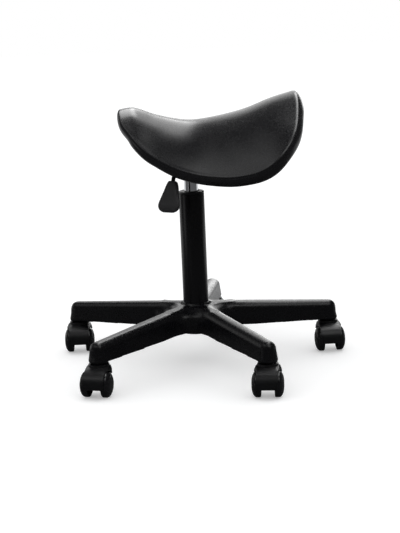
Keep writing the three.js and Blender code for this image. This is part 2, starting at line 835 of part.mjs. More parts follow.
function seatPlate() {
  const underside = plateTop - plateThickness;
  const sheet = roundedRectangle(plateHalfLength, plateHalfWidth, plateCorner);
  const top = slab(sheet, underside, plateTop, cornerSteps);
  const edges = [-1, 1].map((side) => {
    const reach = plateHalfLength - plateCorner;
    const [inner, outer] = [side * (plateHalfWidth - plateThickness), side * plateHalfWidth];
    return blockBetween(
      [-reach, Math.min(inner, outer), underside - plateFlange],
      [reach, Math.max(inner, outer), plateTop],
    );
  });
  const housing = blockBetween(
    [-housingHalfLength, -housingHalfWidth, housingFloor],
    [housingHalfLength, housingHalfWidth, plateTop - plateThickness / 2],
  );
  const socket = rodBetween(socketRadius, socketFoot, housingFloor + housingWall, springFacets);
  const room = blockBetween(
    [housingWall - housingHalfLength, housingWall - housingHalfWidth, housingFloor + housingWall],
    [housingHalfLength - housingWall, housingHalfWidth - housingWall, underside],
  );
  const slot = blockBetween(
    [leverPivot, -leverSlotHalf, housingFloor + housingWall],
    [housingHalfLength + overrun, leverSlotHalf, pivotHeight + leverEye + overrun],
  );
  const bore = revolve(
    [
      [0, socketFoot - overrun],
      [springRadius + clearance, socketFoot - overrun],
      [springRadius + clearance, socketFoot],
      [springRadius - springDraft + clearance, springTop],
      [0, springTop],
    ],
    springFacets,
  );
  const pinRadius = leverPinRadius + clearance;
  const pinHole = crossRod(pinRadius, housingHalfWidth + overrun, leverPivot, pivotHeight, rodFacets);
  const turned = [room, slot, bore, pinHole].map((tool) => tool.rotateZ(leverTurn));
  const holeRadius = boltRadius + clearance;
  const boltHole = rodBetween(holeRadius, underside - overrun, plateTop + overrun, axleFacets);
  const boltHoles = boltPlaces.map(([x, y]) => boltHole.clone().translate(x, y, 0));
  const body = join(top, ...edges, join(housing, socket).rotateZ(leverTurn));
  return piece("seat_plate", cut(body, ...turned, ...boltHoles), finishes.platePaint);
}

function seatBolt(name, x, y) {
  const top = plateTop - plateThickness - clearance;
  const foot = top - boltHeadHeight;
  const profile = [
    [0, foot + boltHeadHeight / 2],
    [boltRecess, foot + boltHeadHeight / 2],
    [boltRecess, foot],
    [boltHead - boltChamfer, foot],
    [boltHead, foot + boltChamfer],
    [boltHead, top],
    [boltRadius, top],
    [boltRadius, top + boltLength],
    [0, top + boltLength],
  ];
  return piece(name, revolve(profile, axleFacets).translate(x, y, 0), finishes.steel);
}

function seatInsert(name, x, y) {
  const foot = plateTop + 2 * clearance;
  const inner = boltRadius + clearance;
  const ring = ringBetween(inner, inner + insertWall, foot, foot + insertLength, rodFacets);
  return piece(name, ring.translate(x, y, 0), finishes.steel);
}

// Height lever, built along +X

function releaseLever() {
  const tongue = blockBetween(
    [-tongueTip, -tongueHalfWidth, tongueFoot],
    [leverPivot, tongueHalfWidth, tongueFoot + tongueThickness],
  );
  const eye = crossRod(leverEye, leverEyeHalf, leverPivot, pivotHeight, rodFacets);
  const pinRadius = leverPinRadius + clearance;
  const hole = crossRod(pinRadius, leverEyeHalf + overrun, leverPivot, pivotHeight, rodFacets);
  const down = new THREE.Vector3(Math.sin(gripTilt), 0, -Math.cos(gripTilt));
  const neck = new THREE.Vector3(gripReach, 0, gripTop);
  const start = new THREE.Vector3(leverPivot + leverEye * bendShare, 0, pivotHeight);
  const entry = neck.clone().addScaledVector(down, -gripBore * bendShare);
  const end = neck.clone().addScaledVector(down, gripBore - clearance);
  const middle = start.clone().lerp(entry, bendShare);
  const route = new THREE.CatmullRomCurve3([start, middle, entry, neck, end], false, "centripetal");
  const section = new THREE.Shape().absarc(0, 0, leverRod, 0, turn, false);
  const rod = new THREE.ExtrudeGeometry(section, {
    steps: leverRodSteps,
    curveSegments: leverRodSides,
    extrudePath: route,
    bevelEnabled: false,
  });
  return piece("release_lever", cut(join(tongue, eye, rod), hole), finishes.columnPaint);
}

function leverPin() {
  const reach = housingHalfWidth + clearance;
  const far = reach + leverPinHeadHeight;
  const profile = [
    [0, -far],
    [leverPinRadius, -far],
    [leverPinRadius, reach],
    [leverPinHead, reach],
    [leverPinHead, far],
    [0, far],
  ];
  const geometry = revolve(profile, rodFacets).rotateX(turn / 4).translate(leverPivot, 0, pivotHeight);
  return piece("lever_pivot_pin", geometry, finishes.steel);
}

function leverGrip() {
  const softShare = 0.72; // where the paddle's edges start to round off
  const rings = gripShares.map(([along, width, thickness]) => {
    const [half, thick] = [width * gripHalfWidth, thickness * gripHalfThickness];
    const [edge, face] = [half - thick * (1 - softShare), thick * softShare];
    const points = [
      [thick, -edge],
      [thick, edge],
      [face, half],
      [-face, half],
      [-thick, edge],
      [-thick, -edge],
      [-face, -half],
      [face, -half],
    ];
    return points.map(([x, y]) => new THREE.Vector3(x, y, -along * gripLength));
  });
  const bore = rodBetween(leverRod + clearance, -gripBore, overrun, rodFacets);
  const grip = cut(loft(rings), bore).rotateY(-gripTilt).translate(gripReach, 0, gripTop);
  return piece("lever_grip", grip, finishes.nylon);
}

function lever() {
  const group = new THREE.Group();
  group.add(releaseLever(), leverPin(), leverGrip());
  group.rotation.z = leverTurn;
  return group;
}

// Saddle: its top is a ridge line with sides that fall away, and every layer follows that top

const seatCentreShare = 0.15; // centre of the seat's rings, as a share of the rear reach
const ringShares = [0.3, 0.55, 0.78, 0.9, 1]; // rings of the flat faces, as shares of the outline
const turnInShare = 0.9; // where the cover's turned-in edge ends
const linerShare = 0.95;
const edgeAngles = [67.5, 45, 22.5, 0, -22.5, -45, -67.5, -90].map((angle) => angle * degree);

const reachAt = (share) => share * (share < 0 ? seatFront : seatRear);
const ridge = smoothLine([
  ...noseRidgeShares.map(([x, up]) => [reachAt(x), seatValley + up * noseRise]),
  [0, seatValley],
  ...rearRidgeShares.map(([x, up]) => [reachAt(x), seatValley + up * cantleRise]),
]);

// A value given at the nose, over the column and at the rear, straight between them
function along(x, nose, middle, rear) {
  if (x < 0) return lerp(middle, nose, clamp(-x / seatFront, 0, 1));
  return lerp(middle, rear, clamp(x / seatRear, 0, 1));
}

function seatHeight(x, y, extra = 0) {
  const round = along(x, noseSaddleHalfWidth, middleSaddleHalfWidth, rearSaddleHalfWidth) + extra;
  return ridge(x) - along(x, noseFall, middleFall, rearFall) * (Math.hypot(y, round) - round);
}

// The way through the seat's layers: square to a softer saddle, so that the underside keeps its shape
function seatNormal(x, y) {
  const height = (atX, atY) => seatHeight(atX, atY, innerSaddleHalfWidth);
  const step = clearance;
  const slopeX = (height(x + step, y) - height(x - step, y)) / (2 * step);
  const slopeY = (height(x, y + step) - height(x, y - step)) / (2 * step);
  return new THREE.Vector3(-slopeX, -slopeY, 1).normalize();
}

function seatOutline() {
  const half = outlineShares.map(([x, y]) => [reachAt(x), y * seatHalfWidth]);
  const mirrored = half.slice(1, -1).map(([x, y]) => [x, -y]).reverse();
  const corners = [...half, ...mirrored].map(([x, y]) => new THREE.Vector3(x, y, 0));
  const curve = new THREE.CatmullRomCurve3(corners, true, "centripetal");
  return curve.getSpacedPoints(seatFacets).slice(0, -1);
}

const outline = seatOutline();
const seatCentre = new THREE.Vector3(seatCentreShare * seatRear, 0, 0);

function seatPoint(place, depth) {
  const thin = lerp(1, noseShare, clamp((taperStart - place.x) / (seatFront + taperStart), 0, 1));
  const point = new THREE.Vector3(place.x, place.y, seatHeight(place.x, place.y));
  return point.addScaledVector(seatNormal(place.x, place.y), -depth * thin);
}

// How far the padded top has rolled down at the edge, for a corner of the outline
function edgeDrop(corner) {
  const reach = corner.distanceTo(seatCentre);
  const share = (1 - (corner.x - seatCentre.x) / reach) / 2;
  const side = clamp(Math.abs(corner.y) / reach / sideStart, 0, 1);
  const tipDrop = lerp(rearTipDrop, noseTipDrop, share);
  const sideDrop = lerp(rearSideDrop, noseSideDrop, share);
  return lerp(tipDrop, sideDrop, side * side * (3 - 2 * side));
}

// A ring at a share of the outline, pushed outwards along the surface and sunk below the top. The depth
// is a number, or is worked out from how far the top has rolled down at each corner's edge
function seatRing(share, depth, push = 0) {
  return outline.map((corner, i) => {
    const sunk = typeof depth === "function" ? depth(edgeDrop(corner)) : depth;
    const place = seatCentre.clone().lerp(corner, share);
    const before = outline[(i + seatFacets - 1) % seatFacets];
    const after = outline[(i + 1) % seatFacets];
    const normal = seatNormal(place.x, place.y);
    const outward = new THREE.Vector3(before.y - after.y, after.x - before.x, 0).normalize();
    outward.addScaledVector(normal, -outward.dot(normal)).normalize();
    return seatPoint(place, sunk).addScaledVector(outward, push);
  });
}

const flatRings = (depth, shares = ringShares) => shares.map((share) => seatRing(share, depth));

// Rings that follow the padded top at a depth
const topRings = (depth) =>
  ringShares.map((share) => {
    const roll = clamp((share - padStart) / (1 - padStart), 0, 1) ** 2;
    return seatRing(share, (drop) => depth + drop * roll);
  });

const seatMiddle = (depth) => seatPoint(seatCentre, depth);

// The rounded edge, inset from the outer skin by a thickness
function edgeRings(inset, angles = edgeAngles) {
  const power = 2 / edgePower;
  return angles.map((angle) => {
    const [across, up] = [Math.cos(angle), Math.sin(angle)];
    const rise = Math.sign(up) * Math.abs(up) ** power;
    const depth = (drop) => (seatThickness + drop) / 2 - ((seatThickness - drop) / 2 - inset) * rise;
    return seatRing(1, depth, (edgeSwell - inset) * Math.max(across, 0) ** power);
  });
}

// A layer between an upper and a lower set of rings, whose middles lie at the two depths
const sheetBetween = (upper, lower, upperDepth, lowerDepth) =>
  loft([...upper, ...lower.reverse()], seatMiddle(upperDepth), seatMiddle(lowerDepth));

function seatCover() {
  const inner = coverThickness;
  const outside = [...topRings(0), ...edgeRings(0), seatRing(turnInShare, seatThickness)];
  const inside = [...topRings(inner), ...edgeRings(inner), seatRing(turnInShare, seatThickness - inner)];
  return piece("seat_cover", sheetBetween(outside, inside, 0, inner), finishes.leatherette);
}

const foamTop = coverThickness + padGap;
const shellFoot = seatThickness - coverThickness - padGap;
const shellTop = shellFoot - shellThickness;

function seatFoam() {
  const upperAngles = edgeAngles.filter((angle) => angle >= 0);
  const top = [...topRings(foamTop), ...edgeRings(foamTop, upperAngles)];
  const foot = shellTop - padGap;
  return piece("seat_foam", sheetBetween(top, flatRings(foot), foamTop, foot), finishes.foam);
}

// Everything below a depth under the seat's top
function belowSeat(depth) {
  const rings = flatRings(depth);
  const floor = rings.at(-1).map((point) => new THREE.Vector3(point.x, point.y, 0));
  return loft([...rings, floor], seatMiddle(depth));
}

function seatShell() {
  const pan = sheetBetween(flatRings(shellTop), flatRings(shellFoot), shellTop, shellFoot);
  const padFoot = plateTop + clearance;
  const footprint = roundedRectangle(plateHalfLength, plateHalfWidth, plateCorner);
  const pad = slab(footprint, padFoot, seatValley, cornerSteps);
  const insertRoom = boltRadius + clearance + insertWall + clearance;
  const pocketTop = padFoot + insertLength + 2 * clearance;
  const pocket = rodBetween(insertRoom, padFoot - overrun, pocketTop, rodFacets);
  const pockets = boltPlaces.map(([x, y]) => pocket.clone().translate(x, y, 0));
  const body = join(pan, common(pad, belowSeat(shellTop + shellThickness / 2)));
  return piece("seat_shell", cut(body, ...pockets), finishes.shellPlastic);
}

function bottomLiner() {
  const top = seatThickness + linerGap;
  const foot = top + linerThickness;
  const shares = [...ringShares.slice(0, -1), linerShare];
  const sheet = sheetBetween(flatRings(top, shares), flatRings(foot, shares), top, foot);
  const opening = roundedRectangle(plateHalfLength + padGap, plateHalfWidth + padGap, plateCorner);
  const window = slab(opening, 0, seatValley + noseRise, cornerSteps);
  return piece("bottom_liner", cut(sheet, window), finishes.felt);
}

function saddle() {
  const group = new THREE.Group();
  group.add(seatCover(), seatFoam(), seatShell(), bottomLiner(), seatPlate());
  boltPlaces.forEach(([x, y], i) => {
    group.add(seatBolt(`seat_bolt${i + 1}`, x, y), seatInsert(`seat_insert${i + 1}`, x, y));
  });
  group.add(lever());
  return group;
}

function gasColumn() {
  const group = new THREE.Group();
  group.add(
    columnTube(),
    guideBush(),
    pressureTube(),
    pistonRod(),
    piston(),
    retainingClip(),
    bearingRace("bearing_race_lower", bearingFoot),
    ballCage(),
    bearingRace("bearing_race_upper", upperRace),
    buffer(),
    valvePin(),
  );
  return group;
}

const stool = new THREE.Group();
stool.add(starBase(), gasColumn(), saddle());
for (let i = 0; i < armCount; i += 1) stool.add(caster(i));
// The frame's origin is the middle of the stool's box on the floor, between its outermost arms
const sideReaches = [1, armCount - 1].map((index) => armLength * Math.cos(armAngle(index)));
stool.position.x = -(sideReaches[0] + sideReaches[1]) / 2;

export default stool;
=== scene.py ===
import json
from math import atan2, copysign, cos, hypot, pi, radians, sin, sqrt

import bmesh
import bpy
from mathutils import Matrix, Vector


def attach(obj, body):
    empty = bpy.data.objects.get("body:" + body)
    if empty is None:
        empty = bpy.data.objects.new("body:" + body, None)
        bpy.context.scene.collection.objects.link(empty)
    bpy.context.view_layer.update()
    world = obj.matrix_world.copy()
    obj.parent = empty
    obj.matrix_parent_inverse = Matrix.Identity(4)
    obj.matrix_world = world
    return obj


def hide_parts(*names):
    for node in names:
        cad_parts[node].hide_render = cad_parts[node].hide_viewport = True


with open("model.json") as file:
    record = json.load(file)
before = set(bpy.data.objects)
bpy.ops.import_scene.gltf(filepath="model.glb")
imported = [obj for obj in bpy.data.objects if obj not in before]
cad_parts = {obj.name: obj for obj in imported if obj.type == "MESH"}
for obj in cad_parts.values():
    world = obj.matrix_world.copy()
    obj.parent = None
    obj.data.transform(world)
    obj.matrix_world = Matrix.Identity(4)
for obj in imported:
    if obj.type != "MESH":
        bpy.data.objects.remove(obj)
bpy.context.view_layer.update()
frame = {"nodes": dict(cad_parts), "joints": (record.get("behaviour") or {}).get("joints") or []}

# A saddle stool: padded saddle on a gas column, five-arm base, twin-wheel casters.
# The dictionaries hold millimetres and degrees, measured from the foot of the column's axis.
# Only the studio's are in metres.

scene = bpy.context.scene
mm = 0.001
turn = 2 * pi
up = Vector((0, 0, 1))
# the play between pieces that meet or slide, and how far a cut runs past the face it opens
clearance = 0.3
overrun = 2
nodes = frame["nodes"]
joints = {joint["name"]: joint for joint in frame["joints"]}
columnPlace = Matrix.Translation((joints["seat_swivel"]["pos_m"][0], 0, 0))

print("stage: camera")

cameraValues = {
    "place": (0, -2915.8, 873.9),
    "yaw": 0.2132, "pitch": 13.18, "roll": 2.42, "lens": 102.2, "farthest": 50000,
}


def addCamera(values):
    yaw, pitch, roll = (radians(values[key]) for key in ("yaw", "pitch", "roll"))
    level = Vector((sin(yaw), cos(yaw), 0))
    forward = level * cos(pitch) - up * sin(pitch)
    right = Vector((cos(yaw), -sin(yaw), 0))
    above = right.cross(forward)
    tiltedRight = right * cos(roll) - above * sin(roll)
    tiltedUp = right * sin(roll) + above * cos(roll)
    camera = bpy.data.objects.new("camera", bpy.data.cameras.new("camera"))
    camera.data.lens = values["lens"]
    camera.data.clip_end = values["farthest"] * mm
    facing = Matrix((tiltedRight, tiltedUp, -forward)).transposed().to_4x4()
    place = columnPlace @ (Vector(values["place"]) * mm)
    camera.matrix_world = Matrix.Translation(place) @ facing
    scene.collection.objects.link(camera)
    scene.camera = camera


addCamera(cameraValues)

print("stage: tools for shapes")

# A shape is a pair: points in millimetres, and faces that index them.


def arc(x, y, radius, start, end, steps):
    angles = [radians(start + (end - start) * i / steps) for i in range(steps + 1)]
    return [(x + radius * cos(a), y + radius * sin(a)) for a in angles]


def lathe(profile, segments=96):
    # turned about Z; a profile off the axis closes on itself
    points, faces, rings = [], [], []
    for radius, height in profile:
        if radius == 0:
            rings.append([len(points)] * segments)
            points.append(Vector((0, 0, height)))
            continue
        rings.append(list(range(len(points), len(points) + segments)))
        for i in range(segments):
            a = turn * i / segments
            points.append(Vector((radius * cos(a), radius * sin(a), height)))
    pairs = list(zip(rings, rings[1:]))
    if profile[0][0] > 0:
        pairs.append((rings[-1], rings[0]))
    for lower, upper in pairs:
        for i in range(segments):
            j = (i + 1) % segments
            face = dict.fromkeys((lower[i], lower[j], upper[j], upper[i]))
            if len(face) > 2:
                faces.append(tuple(face))
    return points, faces


def drum(radius, low, high, segments=32):
    return lathe([(0, low), (radius, low), (radius, high), (0, high)], segments)


def softRim(radius, height, size, cut):
    # three points of a profile that round an upper rim
    return [(radius, height - size), (radius - cut, height - cut), (radius - size, height)]


def loft(rings, first=None, last=None):
    # a skin over closed rings, with a fan to a middle point at either end
    count = len(rings[0])
    points = [Vector(point) for ring in rings for point in ring]
    faces = []
    for row in range(len(rings) - 1):
        for i in range(count):
            j = (i + 1) % count
            a, b = row * count + i, row * count + j
            faces.append((a, b, b + count, a + count))
    lastStart = (len(rings) - 1) * count
    for ring, start, middle in ((rings[0], 0, first), (rings[-1], lastStart, last)):
        points.append(Vector(middle) if middle else sum(map(Vector, ring), Vector()) / count)
        for i in range(count):
            faces.append((start + i, start + (i + 1) % count, len(points) - 1))
    return points, faces


def prism(outline, low, high):
    # a flat outline raised from one height to another
    count = len(outline)
    points = [Vector((x, y, z)) for z in (low, high) for x, y in outline]
    faces = [tuple(range(count)), tuple(range(count, 2 * count))]
    faces += [(i, (i + 1) % count, (i + 1) % count + count, i + count) for i in range(count)]
    return points, faces


def block(low, high):
    corners = [(low[0], low[1]), (high[0], low[1]), (high[0], high[1]), (low[0], high[1])]
    return prism(corners, low[2], high[2])


def roundedBlock(halfLength, halfWidth, corner, low, high, steps=8):
    x, y = halfLength - corner, halfWidth - corner
    outline = []
    for i, (cx, cy) in enumerate(((x, y), (-x, y), (-x, -y), (x, -y))):
        outline += arc(cx, cy, corner, 90 * i, 90 * i + 90, steps)
    return prism(outline, low, high)


def tube(path, radius, sides=24):
    # a round section carried along a smooth path, without twist
    rings, side = [], None
    for i, point in enumerate(path):
        ahead = (path[min(i + 1, len(path) - 1)] - path[max(i - 1, 0)]).normalized()
        side = ahead.orthogonal() if side is None else side - ahead * side.dot(ahead)
        side.normalize()
        other = ahead.cross(side)
        angles = [turn * k / sides for k in range(sides)]
        rings.append([point + (side * cos(a) + other * sin(a)) * radius for a in angles])
    return loft(rings)


def tight(points):
    # the smallest skin without hollows around the points
    work = bmesh.new()
    for point in points:
        work.verts.new(point)
    bmesh.ops.convex_hull(work, input=work.verts)
    enclosed = [vert for vert in work.verts if not vert.link_faces]
    bmesh.ops.delete(work, geom=enclosed, context="VERTS")
    work.verts.index_update()
    corners = [vert.co.copy() for vert in work.verts]
    faces = [tuple(vert.index for vert in face.verts) for face in work.faces]
    work.free()
    return corners, faces


def moved(shape, matrix):
    return [matrix @ point for point in shape[0]], shape[1]


def rotation(angle, axis="Z"):
    return Matrix.Rotation(radians(angle), 4, axis)


def spun(shape, angle, axis="Z"):
    return moved(shape, rotation(angle, axis))


def shifted(shape, x, y, z):
    return moved(shape, Matrix.Translation((x, y, z)))


def together(*shapes):
    points, faces = [], []
    for shape in shapes:
        start = len(points)
        points += shape[0]
        faces += [tuple(start + i for i in face) for face in shape[1]]
    return points, faces


def smoothPath(corners, steps, closed=False):
    # a centripetal curve through the corners
    corners = [Vector(corner) for corner in corners]
    if closed:
        row = corners[-1:] + corners + corners[:2]
    else:
        row = [corners[0] * 2 - corners[1]] + corners + [corners[-1] * 2 - corners[-2]]
    path = []
    for a, b, c, d in zip(row, row[1:], row[2:], row[3:]):
        t0, t1, t2 = (sqrt((q - p).length) for p, q in ((a, b), (b, c), (c, d)))
        m1 = ((b - a) / t0 - (c - a) / (t0 + t1) + (c - b) / t1) * t1
        m2 = ((c - b) / t1 - (d - b) / (t1 + t2) + (d - c) / t2) * t1
        for i in range(steps):
            t = i / steps
            bend = ((c - b) * 3 - m1 * 2 - m2) * t * t
            path.append(b + m1 * t + bend + ((b - c) * 2 + m1 + m2) * t ** 3)
    if not closed:
        path.append(corners[-1])
    return path


def evenly(path, count):
    # points at equal distances along a closed path
    lengths = [0]
    for a, b in zip(path, path[1:] + path[:1]):
        lengths.append(lengths[-1] + (b - a).length)
    spaced, at = [], 0
    for i in range(count):
        wanted = lengths[-1] * i / count
        while lengths[at + 1] < wanted:
            at += 1
        share = (wanted - lengths[at]) / (lengths[at + 1] - lengths[at])
        spaced.append(path[at].lerp(path[(at + 1) % len(path)], share))
    return spaced


def newPiece(name, shape, place=columnPlace):
    mesh = bpy.data.meshes.new(name)
    mesh.from_pydata([place @ (point * mm) for point in shape[0]], [], shape[1])
    work = bmesh.new()
    work.from_mesh(mesh)
    bmesh.ops.recalc_face_normals(work, faces=work.faces)
    work.to_mesh(mesh)
    work.free()
    piece = bpy.data.objects.new(name, mesh)
    scene.collection.objects.link(piece)
    return piece


def copyOf(piece, name, place):
    # the same mesh once more, moved from the column's foot to another place
    copy = bpy.data.objects.new(name, piece.data.copy())
    copy.data.transform(place @ columnPlace.inverted())
    scene.collection.objects.link(copy)
    return copy


def settle(piece):
    # the modifiers become the mesh
    graph = bpy.context.evaluated_depsgraph_get()
    mesh = bpy.data.meshes.new_from_object(piece.evaluated_get(graph))
    piece.modifiers.clear()
    piece.data = mesh
    return piece


def change(piece, kind, **settings):
    modifier = piece.modifiers.new(kind.lower(), kind)
    for key, value in settings.items():
        setattr(modifier, key, value)
    return settle(piece)


def combine(piece, operation, shapes):
    for shape in shapes:
        tool = newPiece("tool", shape)
        change(piece, "BOOLEAN", object=tool, operation=operation, solver="EXACT")
        bpy.data.objects.remove(tool)
    return piece


def carve(piece, *shapes):
    return combine(piece, "DIFFERENCE", shapes)


def fuse(piece, *shapes):
    return combine(piece, "UNION", shapes)


def roundEdges(piece, width, segments=2, angle=35):
    limits = {"limit_method": "ANGLE", "angle_limit": radians(angle), "use_clamp_overlap": True}
    return change(piece, "BEVEL", width=width * mm, segments=segments, **limits)


def polish(piece, angle=38):
    # smooth shading with crisp edges
    piece.data.shade_smooth()
    piece.data.set_sharp_from_angle(angle=radians(angle))
    return piece


def dress(piece, body, finish, *replaced, slot=None):
    piece.data.materials.clear()
    piece.data.materials.append(finishes[finish])
    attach(piece, body)
    if replaced:
        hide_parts(*replaced)
    return piece


print("stage: finishes")


class Wire:
    # one socket of a shader; a sum on wires adds its Math nodes
    def __init__(self, recipe, socket):
        self.recipe, self.socket = recipe, socket

    def __add__(self, other):
        return self.recipe.maths("ADD", self, other)

    def __sub__(self, other):
        return self.recipe.maths("SUBTRACT", self, other)

    def __mul__(self, other):
        return self.recipe.maths("MULTIPLY", self, other)

    __radd__, __rmul__ = __add__, __mul__


class Recipe:
    # the nodes of a material or a world
    def __init__(self, owner):
        owner.use_nodes = True
        self.tree = owner.node_tree
        self.tree.nodes.clear()

    def node(self, kind, settings=None, values=None, output=0):
        made = self.tree.nodes.new("ShaderNode" + kind)
        for key, value in (settings or {}).items():
            if key == "stops":
                stops = made.color_ramp.elements
                while len(stops) < len(value):
                    stops.new(0.5)
                for stop, (position, level) in zip(stops, value):
                    stop.position = position
                    stop.color = (level, level, level, 1)
            else:
                setattr(made, key, value)
        for key, value in (values or {}).items():
            if isinstance(value, Wire):
                self.tree.links.new(value.socket, made.inputs[key])
            else:
                made.inputs[key].default_value = value
        return Wire(self, made.outputs[output]) if made.outputs else None

    def maths(self, operation, *terms):
        return self.node("Math", {"operation": operation}, dict(enumerate(terms)))

    def larger(self, one, other):
        return self.maths("MAXIMUM", one, other)

    def mixed(self, factor, low, high):
        values = {0: factor, 6: (*low, 1), 7: (*high, 1)}
        return self.node("Mix", {"data_type": "RGBA"}, values, output=2)

    def noise(self, where, scale, detail=2, roughness=0.5):
        # the scale counts features per metre
        values = {"Vector": where, "Scale": scale, "Detail": detail, "Roughness": roughness}
        return self.node("TexNoise", None, values, "Fac")

    def cells(self, where, scale, feature="F1"):
        values = {"Vector": where, "Scale": scale}
        return self.node("TexVoronoi", {"feature": feature}, values, "Distance")

    def ramp(self, factor, *stops):
        return self.node("ValToRGB", {"stops": stops}, {"Fac": factor})

    def step(self, value, start, end):
        # eases from 0 at the start to 1 at the end
        limits = {"Value": value, "From Min": start, "From Max": end}
        return self.node("MapRange", {"interpolation_type": "SMOOTHSTEP"}, limits)

    def stretched(self, where, x, y, z):
        return self.node("Mapping", None, {"Vector": where, "Scale": (x, y, z)})

    def bump(self, height, strength, depth):
        # the depth in millimetres
        values = {"Height": height, "Strength": strength, "Distance": depth * mm}
        return self.node("Bump", None, values)

    def axis(self, where, side):
        return self.node("SeparateXYZ", None, {0: where}, side)

    def coat(self, values, tone, uneven, height, depth):
        # the tone runs from dark to light, and the unevenness is added to the roughness
        return {
            "Base Color": self.mixed(tone, values["dark"], values["light"]),
            "Roughness": values["roughness"] + uneven,
            "Specular IOR Level": values.get("specular", 0.5),
            "Normal": self.bump(height, values["relief"], depth),
        }


def newFinish(name, paint, values):
    # values holds what a user would change; paint turns them into the shader's sockets
    material = bpy.data.materials.new(name)
    recipe = Recipe(material)
    where = recipe.node("TexCoord", output="Object")
    shader = recipe.node("BsdfPrincipled", None, paint(recipe, where, values))
    recipe.node("OutputMaterial", None, {"Surface": shader})
    return material


def leatherette(recipe, where, values):
    # pebbled grain in two sizes, soft tension shading and handled patches
    pebbles = recipe.cells(where, 1000 / values["grain"], "SMOOTH_F1")
    fine = recipe.noise(where, 3200 / values["grain"], 3)
    cloudy = recipe.noise(where, 14, 4, 0.6)
    handled = recipe.noise(where, 42, 5, 0.65)
    uneven = (handled - 0.5) * 0.14 + (pebbles - 0.4) * 0.1
    sheen = {"Sheen Weight": values["sheen"], "Sheen Roughness": 0.45}
    return recipe.coat(values, cloudy, uneven, pebbles * 0.75 + fine * 0.25, 0.25) | sheen


def mouldedPlastic(recipe, where, values):
    # spark-eroded texture that catches the light in points, with scuffed tops
    grains = recipe.cells(where, 1000 / values["grain"])
    fine = recipe.noise(where, 2600 / values["grain"])
    patches = recipe.noise(where, 30, 4, 0.6)
    facing = recipe.axis(recipe.node("NewGeometry", output="Normal"), "Z")
    streaks = recipe.noise(recipe.stretched(where, 60, 60, 400), 1, 4, 0.7)
    scuffs = recipe.ramp(facing, (0.75, 0), (1, 1)) * recipe.ramp(streaks, (0.52, 0), (0.7, 1))
    tone = patches * 0.6 + scuffs * values["wear"]
    uneven = (patches - 0.5) * 0.12 - (grains - 0.35) * 0.16
    return recipe.coat(values, tone, uneven, grains * 0.6 + fine * 0.4, 0.22)


def satinPlastic(recipe, where, values):
    # close, nearly smooth moulding with faint flow marks and dust
    flow = recipe.noise(recipe.stretched(where, 30, 30, 90), 1, 3)
    dust = recipe.ramp(recipe.noise(where, 160, 5, 0.75), (0.55, 0), (0.75, 1))
    tone, uneven = flow * 0.4 + dust * values["wear"], (flow - 0.5) * 0.12 + dust * 0.15
    return recipe.coat(values, tone, uneven, recipe.noise(where, 1500), 0.08)


def powderPaint(recipe, where, values):
    # even coat with the ripple of an orange skin
    ripple = recipe.noise(where, 420)
    fine = recipe.noise(where, 1800)
    dull = recipe.noise(recipe.stretched(where, 40, 40, 7), 1, 4, 0.6)
    return recipe.coat(values, dull * 0.7, (dull - 0.5) * 0.12, ripple * 0.7 + fine * 0.3, 0.15)


def bareMetal(recipe, where, values):
    # turned or drawn metal: fine lines across the axis, with smears of handling
    lines = recipe.noise(recipe.stretched(where, 60, 60, values["lines"]), 1, 3, 0.7)
    smears = recipe.noise(recipe.stretched(where, 50, 50, 18), 1, 4, 0.6)
    uneven = (smears - 0.5) * values["smear"] + (lines - 0.5) * 0.04
    return recipe.coat(values, smears * 0.5 + lines * 0.3, uneven, lines, 0.03) | {"Metallic": 1.0}


def openFoam(recipe, where, values):
    # cut cells of a poured foam
    pores = recipe.cells(where, 900)
    large = recipe.noise(where, 60, 5, 0.7)
    tone, height = pores * 0.6 + large * 0.5, pores * 0.7 + large * 0.3
    return recipe.coat(values, tone, (large - 0.5) * 0.1, height, 0.6)


def lintCloth(recipe, where, values):
    # pressed fibres that run every way, with a dotted bond pattern
    fibres = recipe.noise(recipe.stretched(where, 900, 2600, 900), 1, 5, 0.8)
    crossed = recipe.noise(recipe.stretched(where, 2600, 900, 900), 1, 5, 0.8)
    dots = recipe.ramp(recipe.cells(where, 450), (0.15, 0), (0.3, 1))
    tone, height = fibres * 0.5 + crossed * 0.4, fibres * 0.3 + crossed * 0.3 + dots * 0.4
    return recipe.coat(values, tone, (fibres - 0.5) * 0.1, height, 0.3) | {"Sheen Weight": 0.3}


